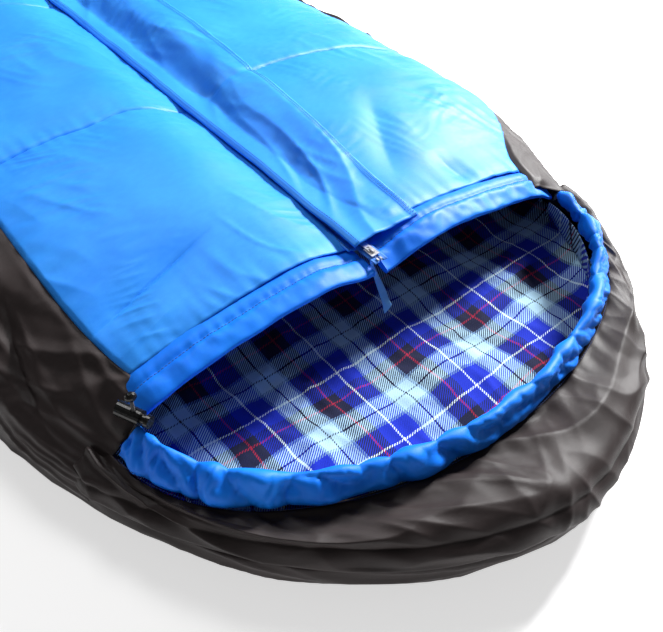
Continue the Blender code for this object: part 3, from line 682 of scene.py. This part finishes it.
def front_quilt(word, side):
    rows = to_the_foot(with_seams(rows_along(HEM_Y - 0.004, QUILT_END_Y, 0.10, 0.0035, 0.006)))[:, None]
    edge_u = blue_u(side, rows)
    cols = columns(104) * edge_u
    base = front_faces(cols, rows)[0]
    fade = step((QUILT_END_Y - rows) / 0.05)
    height = front_height(base[..., 0], base[..., 1], side) * fade
    seam = step((edge_u - cols) / 0.012) * step((base[..., 0] - EDGE_X) / 0.006 + 0.15)
    height = height * seam + 0.0010 - 0.0022 * (1 - seam)
    height = height - 0.0020 * np.exp(-(np.maximum(rows - HEM_Y + 0.004, 0) / 0.007) ** 1.5)
    points = lifted(base, height)
    points[..., 0] -= meeting(base)
    uv = points[..., :2] * [[[side, 1.0]]]
    points[..., 0] *= side
    skin = cloth(f"{word}_front_quilt", points, uv, AZURE, flip=side > 0)
    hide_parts(f"{word}_front_shell", f"{word}_front_insulation", f"{word}_lapel_insulation")
    bend(skin, word)
    lines = []
    for k, line in enumerate(SEAM_LINES):
        reach = float(front_faces(np.array(BLUE_U), np.array(line))[0][0]) if side < 0 else 0.36
        x = np.linspace(EDGE_X + 0.012, reach - 0.006, 120)
        y = line + seam_bow(x, k, side)
        lines.append(np.stack([side * x, y, sampled(points, side * x, y) + 0.0004], -1))
    bend(stitches(f"{word}_quilt_stitching", lines, pitch=0.0040), word)
    return points


def side_height(y, u, side):
    seed = 71 if side < 0 else 93
    h = 0.0060 * noise(u / 0.6, y / 0.17, seed)
    h += 0.0038 * (folds(u * 0.45, y, 55, 0.22, 0.050, seed + 1) - 0.35)
    h += 0.0026 * (folds(u * 0.45, y, 100, 0.16, 0.030, seed + 2) - 0.3)
    patch = step(noise(u / 0.2, y / 0.08, seed + 4) * 1.6)
    h += 0.0014 * (folds(u * 0.45, y, 20, 0.10, 0.016, seed + 3) - 0.3) * patch
    low = np.exp(-(1 - u) / 0.16)
    h += 0.0024 * low * noise(y / 0.018, u, seed + 5)
    for line in SEAM_LINES:
        h += crease(y - line - 0.02 * np.sin(u * 5), 0.0075, 0.005, 0.028)
    if side < 0:
        a, b = turned((u - 0.70) * 0.45, y - NECK_Y - 0.135, 118)
        h += crease(b, 0.010, 0.006, 0.022) * step(1.2 - np.abs(a) / 0.09)
    return h


def side_quilt(word, side):
    rows = to_the_foot(rows_along(NECK_Y - 0.004, QUILT_END_Y, 0.10, 0.0038, 0.007))[:, None]
    edge_u = blue_u(side, rows)
    cols = edge_u + (1.0 - edge_u) * columns(70)
    base = front_faces(cols, rows)[0]
    width = half_width(rows)[..., 0][:, None]
    fade = step((QUILT_END_Y - rows) / 0.05)
    height = side_height(base[..., 1], cols + 0 * rows, side) * fade
    seam = step((cols - edge_u) / 0.02) * step((1.0 - cols) / 0.05)
    height = height * seam + 0.0008 - 0.0022 * (1 - seam)
    points = lifted(base, height)
    near = step((NECK_Y + 0.10 - rows) / 0.10)
    points[..., 2] -= near * 0.012 * step((cols - edge_u) / 0.25)
    tucked = step(1 - (cols - edge_u) / 0.14) * np.exp(-np.maximum(rows - NECK_Y, 0) / 0.02)
    points[..., 1] += 0.016 * tucked
    points[..., 2] -= 0.006 * tucked
    points[..., 0] = np.minimum(points[..., 0], width + 0.008)
    uv = together(cols * 0.40, rows)
    points[..., 0] *= side
    skin = cloth(f"{word}_side_quilt", points, uv, CHARCOAL, flip=side > 0)
    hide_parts(f"{word}_side_shell")
    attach(skin, "root")
    return points


def front_liner(word, side):
    rows = rows_along(HEM_Y - 0.012, QUILT_END_Y, -0.2, 0.006, 0.012)[:, None]
    cols = columns(80)
    base = front_faces(cols + 0 * rows, np.maximum(rows, NECK_Y + 0.004))[1]
    seed = 131 if side < 0 else 151
    x = base[..., 0]
    y = base[..., 1]
    height = 0.0030 * (folds(x, y, 75, 0.14, 0.035, seed) - 0.4) + 0.0020 * noise(x / 0.05, y / 0.06, seed + 1)
    fade = step((QUILT_END_Y - rows) / 0.05) * step((1 - cols) / 0.1) * step(cols / 0.05)
    points = lifted(base, height * fade - 0.0006, -1.0)
    points[..., 0] -= meeting(base)
    uv = points[..., :2] * [[[side, 1.0]]]
    points[..., 0] *= side
    skin = cloth(f"{word}_front_liner", points, uv, PLAID, flip=side < 0)
    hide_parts(f"{word}_front_lining")
    bend(skin, word)


def outline(steps):
    """The whole plan outline, evenly spaced, anticlockwise from the foot's middle."""
    a = np.linspace(0, math.pi / 2, 120)
    across, along = np.sin(a) ** (2 / FOOT_POWER), np.cos(a) ** (2 / FOOT_POWER)
    foot = np.stack([FOOT_WIDTH / 2 * across, FOOT_CURVE_Y + FOOT_CURVE * along], -1)
    ys = np.linspace(FOOT_CURVE_Y, SHOULDER_Y, 160)[1:-1]
    flank = np.stack([half_width(ys), ys], -1)
    across, along = np.cos(a) ** (2 / HEAD_POWER), np.sin(a) ** (2 / HEAD_POWER)
    head = np.stack([WIDTH / 2 * across, SHOULDER_Y - HEAD_CURVE * along], -1)
    half = np.concatenate([foot, flank, head])
    whole = np.concatenate([half, (half * [[-1, 1]])[::-1][1:]])
    lengths = lengths_along(whole)
    at = np.linspace(0, lengths[-1], steps, endpoint=False)
    return np.stack([np.interp(at, lengths, whole[:, k]) for k in (0, 1)], -1), lengths[-1]


def inward(points):
    ahead = np.roll(points, -1, 0) - np.roll(points, 1, 0)
    n = np.stack([ahead[:, 1], -ahead[:, 0]], -1)
    n /= np.linalg.norm(n, axis=1, keepdims=True)
    to_middle = np.stack([0 * points[:, 0], np.clip(points[:, 1], -0.5, 0.85)], -1) - points
    return n * np.sign((n * to_middle).sum(1, keepdims=True))


def bottom_quilt():
    steps = 900
    edge, girth = outline(steps)
    inwards = inward(edge)
    # Insets and heights of the side's round, from the underside up to the seam
    profile = [(0.100, 0.0), (0.055, 0.0), (0.036, 0.0012), (0.022, 0.006), (0.011, 0.014),
               (0.004, 0.024), (0.0006, 0.034), (-0.0005, 0.044), (0.0005, 0.052), (0.004, 0.058)]
    keys = np.arange(len(profile))
    fine = np.linspace(0, len(profile) - 1, 40)
    inset = np.interp(fine, keys, [p[0] for p in profile])[:, None]
    level = np.interp(fine, keys, [p[1] for p in profile])[:, None]
    run = np.linspace(0, girth, steps, endpoint=False)[None, :]
    up = fine[:, None] / (len(profile) - 1)
    puff = step((up - 0.12) / 0.25) * step((1.0 - up) / 0.12)
    swell = 0.0050 * (folds(run, up * 0.08, 6, 0.28, 0.030, 201) - 0.45)
    swell += 0.0034 * noise(run / 0.22, up * 1.6, 202)
    swell += 0.0012 * (folds(run, up * 0.08, 60, 0.14, 0.050, 203) - 0.35)
    swell = np.clip(swell * puff, -0.006, 0.006)
    xy = edge[None] + inwards[None] * (inset - swell)[..., None]
    z = np.maximum(level + 0 * run + np.clip(swell, 0, None) * 0.3, 0.0010)
    points = np.concatenate([xy, z[..., None]], -1)
    uv = together(run, up * 0.11)
    skin = cloth("bottom_quilt", points, uv, CHARCOAL, wrap=(girth, 0.0))
    bm = bmesh.new()
    bm.from_mesh(skin.data)
    bm.verts.ensure_lookup_table()
    base = bm.faces.new([bm.verts[i] for i in range(steps)][::-1])
    bmesh.ops.recalc_face_normals(bm, faces=bm.faces[:])
    base.normal_update()
    if base.normal.z > 0:
        bmesh.ops.reverse_faces(bm, faces=bm.faces[:])
    bm.to_mesh(skin.data)
    bm.free()
    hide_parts("bottom_shell", "bottom_insulation")
    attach(skin, "root")


def bottom_liner():
    """The plaid floor of the bag, from wall to wall, rising where it meets the quilts' seam."""
    rows = rows_along(-LENGTH / 2 + 0.030, LENGTH / 2 - 0.030, -0.45, 0.004, 0.012)
    cols = np.linspace(-1, 1, 150)
    y = rows[:, None] + 0 * cols[None, :]
    reach = np.maximum(half_width(rows) - 0.030, 0.004)[:, None]
    x = cols[None, :] * reach
    inside = 0.026
    to_end = np.minimum(y + LENGTH / 2 - inside, LENGTH / 2 - inside - y)
    edge = np.minimum((1 - np.abs(cols))[None, :] * reach, to_end)
    rise = 0.0155 * np.exp(-((edge / 0.030) ** 2))
    z = FLOOR_PAD_Z + 0.0022 + rise
    z += 0.0042 * noise(x / 0.12, y / 0.10, 301) + 0.0026 * (folds(x, y, 35, 0.15, 0.04, 302) - 0.35)
    z += 0.0022 * (folds(x, y, 110, 0.12, 0.030, 303) - 0.35) + 0.0010 * noise(x / 0.03, y / 0.035, 304)
    points = np.stack([x, y, z], -1)
    skin = cloth("bottom_liner", points, points[..., :2], PLAID, wall=0.0012)
    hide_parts("bottom_lining")
    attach(skin, "root")


# ---- hood

def hood_faces(t, q):
    edge = head_outline(t)
    seam = ring_point(t, (SEAM_RING[0] + 0.002, SEAM_RING[1] + 0.002), (0.088, 0.075))
    reach = np.sin(q * math.pi / 2)
    level = np.cos(q * math.pi / 2)
    swell = 0.015 * np.sin(math.pi * q) * (0.35 + 0.65 * np.sin(math.pi * t))
    x = seam[..., 0] + (edge[..., 0] - seam[..., 0]) * reach
    y = seam[..., 1] + (edge[..., 1] - seam[..., 1]) * reach
    z = SEAM_Z + (seam[..., 2] - SEAM_Z) * level + swell
    return np.stack([x, y, z], -1)


def hood_quilt():
    t = np.linspace(-0.012, 1.012, 420)[:, None]
    q = columns(64, -0.10)
    t_in = np.clip(t, 0.0, 1.0)
    base = hood_faces(t_in + 0 * q, q + 0 * t)
    base[..., 1] += (np.abs(t - 0.5) - 0.5).clip(0) * 1.5
    run = t * 1.15
    wide = q * 0.16
    h = 0.0070 * noise(run / 0.21, wide / 0.14, 401)
    h += 0.0052 * (folds(run, wide, 14, 0.38, 0.066, 402, sharp=1.2) - 0.4)
    patch = step(noise(run / 0.18, 0.3, 404) + 0.5)
    h += 0.0034 * (folds(run, wide, 60, 0.24, 0.055, 403, sharp=1.3) - 0.35) * patch
    patch = step(noise(run / 0.14, 1.3, 406) + 0.3)
    h += 0.0022 * (folds(run, wide, 122, 0.20, 0.040, 405) - 0.35) * patch
    h += 0.0026 * np.exp(-q / 0.22) * noise(run / 0.024, q, 408)
    ends = np.exp(-np.minimum(t_in, 1 - t_in) / 0.06)
    h += 0.0030 * ends * noise(q / 0.20, run / 0.10, 409)
    h += crease(wide - 0.125 + 0.018 * np.sin(run * 5), 0.0045, 0.006, 0.018)
    seam = step(q / 0.05) * step((1.0 - q) / 0.06)
    points = lifted(base, h * seam + 0.0010)
    points[..., 2] -= 0.09 * np.clip(-q, 0, None)
    uv = together(run, wide)
    skin = cloth("hood_quilt", points, uv, CHARCOAL)
    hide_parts("hood_shell", "hood_insulation")
    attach(skin, "root")


def hood_liner():
    """Plaid flannel from under the casing down the inside of the hood to the bag's floor."""
    t = np.linspace(0.0, 1.0, 260)[:, None]
    q = columns(26)
    top = ring_point(t + 0 * q, (TOP_RING[0] + 0.004, TOP_RING[1] + 0.001), (0.096, 0.083))
    low_edge = head_outline(t[:, 0])[:, None, :] + 0 * q[..., None]
    inset = np.stack([0 * low_edge[..., 0], 0 * low_edge[..., 0] + SHOULDER_Y], -1) - low_edge
    inset /= np.linalg.norm(inset, axis=-1, keepdims=True)
    low = np.concatenate([low_edge + inset * 0.036, 0 * low_edge[..., :1] + 0.0535], -1)
    share = q[..., None]
    points = top + (low - top) * share
    points[..., 2] -= 0.013 * np.sin(math.pi * q)
    h = 0.0020 * noise(t * 30, q * 1.2, 431) + 0.0016 * noise(t * 11, q * 2, 432)
    points[..., 2] += h * step(q / 0.2) * step((1 - q) / 0.1)
    skin = cloth("hood_liner", points, points[..., :2], PLAID)
    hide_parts("hood_lining")
    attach(skin, "root")


def hood_casing():
    """The drawcord's satin casing: gathered along the cord, with a rolled edge and a sewn outer seam."""
    rows, sides = 620, 34
    t = np.linspace(0, 1, rows)[:, None]
    middle, up, out = (part[:, None, :] for part in channel_frame(t[:, 0]))
    a = around(sides)
    run = t * 0.90
    flat = np.cos(a)
    thick = np.sin(a)
    warped = run + 0.012 * noise(run / 0.05, 3.3, 457)
    pinch = noise(warped / 0.052 + 0.30 * flat, 0.3 * flat, 451)
    puff = np.abs(pinch) ** 0.75
    small = np.abs(noise(warped / 0.020 + 0.6 * flat, 0.9 * flat, 458)) ** 0.8
    gather = noise(run / 0.008 + 0.5 * flat, 0.8 * flat, 452) * np.exp(-puff / 0.30)
    broad = noise(run / 0.075, 0.2, 453)
    ends = np.exp(-np.minimum(t, 1 - t) / 0.10)
    tall = 0.475 + 0.16 * (puff - 0.35) + 0.06 * broad - 0.02 * ends
    deep = 0.0042 + 0.0135 * puff + 0.0040 * small + 0.0020 * gather - 0.001 * ends
    points = middle + up * (tall * flat)[..., None] + out * (deep * thick)[..., None]
    points = points + 0.0045 * broad[..., None] * out * (0.5 + 0.5 * flat)[..., None]
    roll = step((flat - 0.1) / 0.9) * 0.004
    points = points + out * roll[..., None] * (1 + noise(run / 0.04, 7.1, 456))[..., None]
    round_radius = 0.013
    wrap = (0.0, 2 * math.pi * round_radius)
    uv = together(run, a * round_radius)
    skin = cloth("hood_casing", points, uv, SATIN, wrap=wrap, wall=0.0008)
    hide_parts("hood_channel")
    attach(skin, "root")
    seam = (middle - up * 0.47 + out * 0.0052)[4:-4, 0]
    sewing = stitches("casing_seam", [seam], pitch=0.0036, long=0.0026)
    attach(sewing, "root")


# ---- hems, flap and zip

def neck_hem(word, side):
    """The turned hem along one front's neck edge: a soft tube whose top is sewn down behind."""
    cols, sides = 300, 84
    u = np.linspace(-0.004, BLUE_U + 0.05, cols)[:, None]
    a = around(sides)
    outer = front_faces(np.clip(u[:, 0], 0.0, 1.0), np.full(cols, HEM_Y))[0]
    x = outer[:, 0][:, None]
    seed = 501 if side < 0 else 541
    front = np.cos(a)
    body = np.sign(np.sin(a)) * np.abs(np.sin(a)) ** 0.62
    reach = 0.0245 + 0.0018 * noise(x / 0.045, 0.3, seed + 2)
    y_mid = HEM_Y - 0.0225 + 0.0010 * noise(x / 0.05, 1.7, seed + 3)
    thick = 0.0060 + 0.0008 * noise(x / 0.03, 2.2, seed + 4)
    y = y_mid - front * reach
    droop = 0.0030 if side < 0 else 0.0085
    z = outer[:, 2][:, None] - 0.0052 - droop * step((front + 0.2) / 1.2) + body * thick * (0.8 + 0.2 * front)
    sewn = (front + 0.10) * reach
    upper = np.clip(body, 0, 1)
    z += upper * crease(sewn, 0.0042, 0.0011, 0.0055, 0.5)
    pucker = noise(x / 0.010, sewn / 0.03, seed + 5) * np.exp(-np.abs(sewn) / 0.010)
    gather = 0.6 * noise(x / 0.040, front, seed)
    gather += noise(x / 0.018, front * 1.4, seed + 1) * step((front + 0.1) / 0.4)
    z += upper * (0.0010 * pucker + (0.0012 if side < 0 else 0.0020) * gather)
    z = z - 0.0050 * step((u - BLUE_U + 0.02) / 0.07)
    points = together(x, y, z)
    points[..., 0] *= side
    uv = together(x, a * 0.011)
    skin = cloth(f"{word}_hem_casing", points, uv, SATIN, flip=side < 0)
    close_tube(skin, cols, sides)
    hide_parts(f"{word}_neck_hem")
    bend(skin, word)
    at = int(np.argmin(np.abs(front[0] + 0.10) + (body[0] < 0)))
    bend(stitches(f"{word}_hem_stitching", [points[4:-14, at] + [0, 0, 0.0004]]), word)


def close_tube(obj, rows, sides):
    """Joins the last column of a grid to the first, and closes both ends."""
    bm = bmesh.new()
    bm.from_mesh(obj.data)
    bm.verts.ensure_lookup_table()
    layer = bm.loops.layers.uv.active
    for i in range(rows - 1):
        low, high = i * sides, (i + 1) * sides
        ring = [bm.verts[k] for k in (low + sides - 1, low, high, high + sides - 1)]
        if not bm.faces.get(ring):
            face = bm.faces.new(ring)
            face.smooth = True
            for loop, k in zip(face.loops, (0, 1, 1, 0)):
                loop[layer].uv = (loop.vert.co.x, k * 0.002)
    for i in (0, rows - 1):
        bm.faces.new([bm.verts[i * sides + k] for k in range(sides)])
    bmesh.ops.recalc_face_normals(bm, faces=bm.faces[:])
    bm.to_mesh(obj.data)
    bm.free()


def sampled(points, x, y):
    """Heights of a skin whose rows have one y each, at places (x, y), by interpolation."""
    ys = points[:, 0, 1]
    rows = np.clip(np.searchsorted(ys, y) - 1, 0, len(ys) - 2)
    out = np.empty(len(x))
    for k, (px, row) in enumerate(zip(x, rows)):
        xs, zs = points[row, :, 0], points[row, :, 2]
        if xs[0] > xs[-1]:
            xs, zs = xs[::-1], zs[::-1]
        out[k] = np.interp(px, xs, zs)
    return out


def cover_flap(right_skin):
    """The flap sewn along the right front and lying loosely over the zip."""
    rows = rows_along(HEM_Y - 0.016, 0.780, 0.10, 0.004, 0.007)[:, None]
    cols = columns(46)
    free = -0.0135 + 0.0018 * noise(rows / 0.06, 0.5, 601)
    sewn = 0.082 + 0.028 * step((rows - NECK_Y) / 0.6)
    x = free + (sewn - free) * cols
    y = rows + 0 * cols
    under = sampled(right_skin, np.maximum(x, EDGE_X + 0.001).ravel(), y.ravel()).reshape(x.shape)
    bridge = zip_z(y) + 0.0078 + 0.0030 * step((x - free) / 0.008) - 0.0040 * cols
    z = np.maximum(under + 0.0022 + 0.005 * np.sin(math.pi * cols) ** 2, bridge)
    h = 0.0028 * (folds(x, y, 74, 0.24, 0.046, 602, sharp=1.2) - 0.35) + 0.0026 * noise(x / 0.05, y / 0.12, 604)
    patch = step(noise(x / 0.06, y / 0.09, 606) * 1.4 + 0.1)
    h += 0.0011 * (folds(x, y, 108, 0.12, 0.028, 603) - 0.3) * patch
    pinned = step((1.0 - cols) / 0.12) * (0.08 + 0.92 * step(cols / 0.35))
    z += np.maximum(h, -0.0020) * pinned
    z += 0.0010 * np.exp(-(1 - cols) / 0.10) * noise(y / 0.012, 0.4, 605) * step((1 - cols) / 0.03)
    points = np.stack([x, y, z], -1)
    skin = cloth("zip_flap", points, points[..., :2], AZURE, wall=0.0016)
    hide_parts("zip_cover_flap")
    bend(skin, "right")
    lines = [points[:, k] + [0, 0, 0.0009] for k in (-4, -2, 3)]
    bend(stitches("flap_stitching", lines), "right")


def zip_welt(left_skin):
    """The narrow folded welt on the left of the zip, topstitched; all of it keeps its height at the neck."""
    rows = rows_along(HEM_Y - 0.010, ZIP_END_Y - 0.01, 0.10, 0.004, 0.008)[:, None]
    cols = columns(12)
    x = -0.0050 - 0.0125 * cols
    y = rows + 0 * cols
    under = sampled(left_skin, np.minimum(x, -EDGE_X - 0.001).ravel(), y.ravel()).reshape(x.shape)
    z = under + 0.0016 + 0.0024 * np.sin(math.pi * np.clip(cols * 0.8 + 0.1, 0, 1))
    points = together(x, y, z + 0.0006 * noise(y / 0.015, cols, 621))
    skin = cloth("zip_welt_left", points, points[..., :2], AZURE, wall=0.0012, flip=True)
    bend(skin, "left")
    bend(stitches("welt_stitching", [points[:, -3] + [0, 0, 0.0008]]), "left")


def zip_half(word, side):
    """Woven tape and a row of moulded coil teeth on one side of the opening."""
    rows = np.linspace(ZIP_TOP_Y, ZIP_END_Y, 260)[:, None]
    cols = columns(6)
    x = side * (0.0030 + 0.0062 * cols)
    points = together(x, rows, zip_z(rows) + 0.0002 * np.sin(cols * 9))
    tape = cloth(f"{word}_tape_weave", points, points[..., :2], TAPE, wall=0.0007, flip=side > 0,
                 offset=0.0)
    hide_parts(f"{word}_zip_tape")
    bend(tape, word)
    verts, faces = [], []
    pitch = 0.0026
    start = ZIP_TOP_Y + 0.020
    for i in range(int((ZIP_END_Y - 0.020 - start) / pitch)):
        y = start + pitch * (i + (0.5 if side > 0 else 0.0))
        z = zip_z(y)
        base = len(verts)
        for dx, half in ((0.0009, 0.35), (0.0015, 0.62), (0.0034, 0.42)):
            for sy, sz in ((-1, -1), (1, -1), (1, 1), (-1, 1)):
                verts.append((side * dx, y + sy * half * 0.0015, z + sz * half * 0.0024))
        for r in (0, 1):
            for k in range(4):
                j = (k + 1) % 4
                quad = (base + 4 * r + k, base + 4 * r + j, base + 4 * r + 4 + j, base + 4 * r + 4 + k)
                faces.append(quad if side < 0 else quad[::-1])
        first, last = tuple(base + k for k in range(4)), tuple(base + 8 + k for k in range(4))
        faces += [first[::-1], last] if side < 0 else [first, last[::-1]]
    teeth = solid_object(f"{word}_coil_teeth", verts, faces, COIL, smooth=False)
    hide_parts(f"{word}_zip_coil")
    bend(teeth, word)


def pull_ribbon():
    """A folded ribbon from the slider's underside, with a slanted cut end."""
    low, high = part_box("inner_pull_ribbon")
    rows = np.linspace(0, 1, 40)[:, None]
    cols = columns(9, -1.0)
    top, bottom = high[2] - 0.001, low[2] + 0.001
    wide = (0.0016 + 0.0036 * step((rows - 0.05) / 0.75)) * (1 + 0 * cols)
    z = top + (bottom - top) * 0.86 * rows + 0.004 * cols * step((rows - 0.86) / 0.14)
    y = (low[1] + high[1]) / 2 - 0.034 * rows ** 1.4 + 0.0011 * cols ** 2
    x = cols * wide + 0.006 * np.sin(rows * 2.6) * rows
    uv = together(cols * 0.005, rows * 0.07)
    skin = cloth("ribbon_pull", together(x, y, z), uv, RIBBON, wall=0.0005)
    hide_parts("inner_pull_ribbon")
    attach(skin, "inner_pull")


# ---- cord and lock

def cord_line():
    """The drawcord's middle line: round the casing, out at its left end and up through the lock to the bead."""
    t = np.linspace(1, 0, 60)
    points = [Vector(p) for p in channel_frame(t)[0]]
    low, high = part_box("cord_end_bead")
    top = Vector(((low[0] + high[0]) / 2, (low[1] + high[1]) / 2, low[2] - 0.0002))
    last, leave = points[-1], (points[-1] - points[-2]).normalized()
    rise = Vector((top.x, top.y, 0.1135))
    control = [last, last + leave * 0.006, rise - Vector((0, 0, 0.007)), rise]
    for i in range(1, 9):
        s = i / 8
        a, b, c = (control[k].lerp(control[k + 1], s) for k in range(3))
        points.append(a.lerp(b, s).lerp(b.lerp(c, s), s))
    for i in range(1, 7):
        points.append(rise.lerp(top, i / 6))
    return [tuple(p) for p in points]


def drawcord():
    line = cord_line()
    data = bpy.data.curves.new("drawcord", "CURVE")
    data.dimensions = "3D"
    data.bevel_depth = CORD_DIAMETER / 2
    data.bevel_resolution = 3
    data.use_fill_caps = True
    spline = data.splines.new("POLY")
    spline.points.add(len(line) - 1)
    for spot, place in zip(spline.points, line):
        spot.co = (*place, 1.0)
    data.materials.append(CORD)
    cord = linked("drawcord", data)
    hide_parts("hood_drawcord")
    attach(cord, "root")


def lock_spring():
    """The lock's coil spring: a round wire along the barrel."""
    wire, radius, turns, steps = 0.0007, 0.0037, 3.5, 112
    joint = [j for j in frame["joints"] if j["name"] == "lock_plunger_press"][0]
    way = -np.array(joint["axis"], float)
    way = way / np.linalg.norm(way)
    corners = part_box("cord_lock_spring")
    middle = (np.array(corners[0], float) + np.array(corners[1], float)) / 2
    long = SPRING_LENGTH - wire
    side = np.cross(way, (0.0, 0.0, 1.0))
    up = np.cross(side, way)
    share = np.linspace(0, 1, steps)[:, None]
    angle = 2 * math.pi * turns * share
    line = middle + way * (share - 0.5) * long + (side * np.cos(angle) + up * np.sin(angle)) * radius
    spring = wire_mesh("lock_spring", line, wire / 2, STEEL)
    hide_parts("cord_lock_spring")
    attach(spring, "cord_lock")
    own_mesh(spring)


def dressed_nodes():
    """CAD parts that keep their own shape, with softened edges and real finishes."""
    looks = {
        "cord_end_bead": (BLACK, 0.0), "cord_lock_body": (BLACK, 0.0007), "cord_lock_plunger": (BLACK, 0.0006),
        "drawcord_anchor_tab": (CORD, 0.0003), "zip_bottom_stop": (STEEL, 0.0005),
        "zip_slider": (STEEL, 0.0003), "zip_pull_tab": (STEEL, 0.0002), "left_hang_loop": (CORD, 0.0),
        "right_hang_loop": (CORD, 0.0), "left_top_stop": (STEEL, 0.0003), "right_top_stop": (STEEL, 0.0003)}
    for node, (look, soft) in looks.items():
        obj = frame["nodes"][node]
        if not obj.data.materials:
            obj.data.materials.append(look)
        for place in obj.material_slots:
            place.material = look
        if soft:
            edge = obj.modifiers.new("softened edges", "BEVEL")
            edge.width = soft
            edge.segments = 2
            edge.limit_method = "ANGLE"
            edge.angle_limit = math.radians(35)


camera()
studio()
skins = {}
for word, side in (("left", -1), ("right", 1)):
    skins[word] = front_quilt(word, side)
    side_quilt(word, side)
    front_liner(word, side)
    neck_hem(word, side)
    zip_half(word, side)
cover_flap(skins["right"])
zip_welt(skins["left"])
bottom_quilt()
bottom_liner()
hood_quilt()
hood_liner()
hood_casing()
pull_ribbon()
drawcord()
lock_spring()
dressed_nodes()
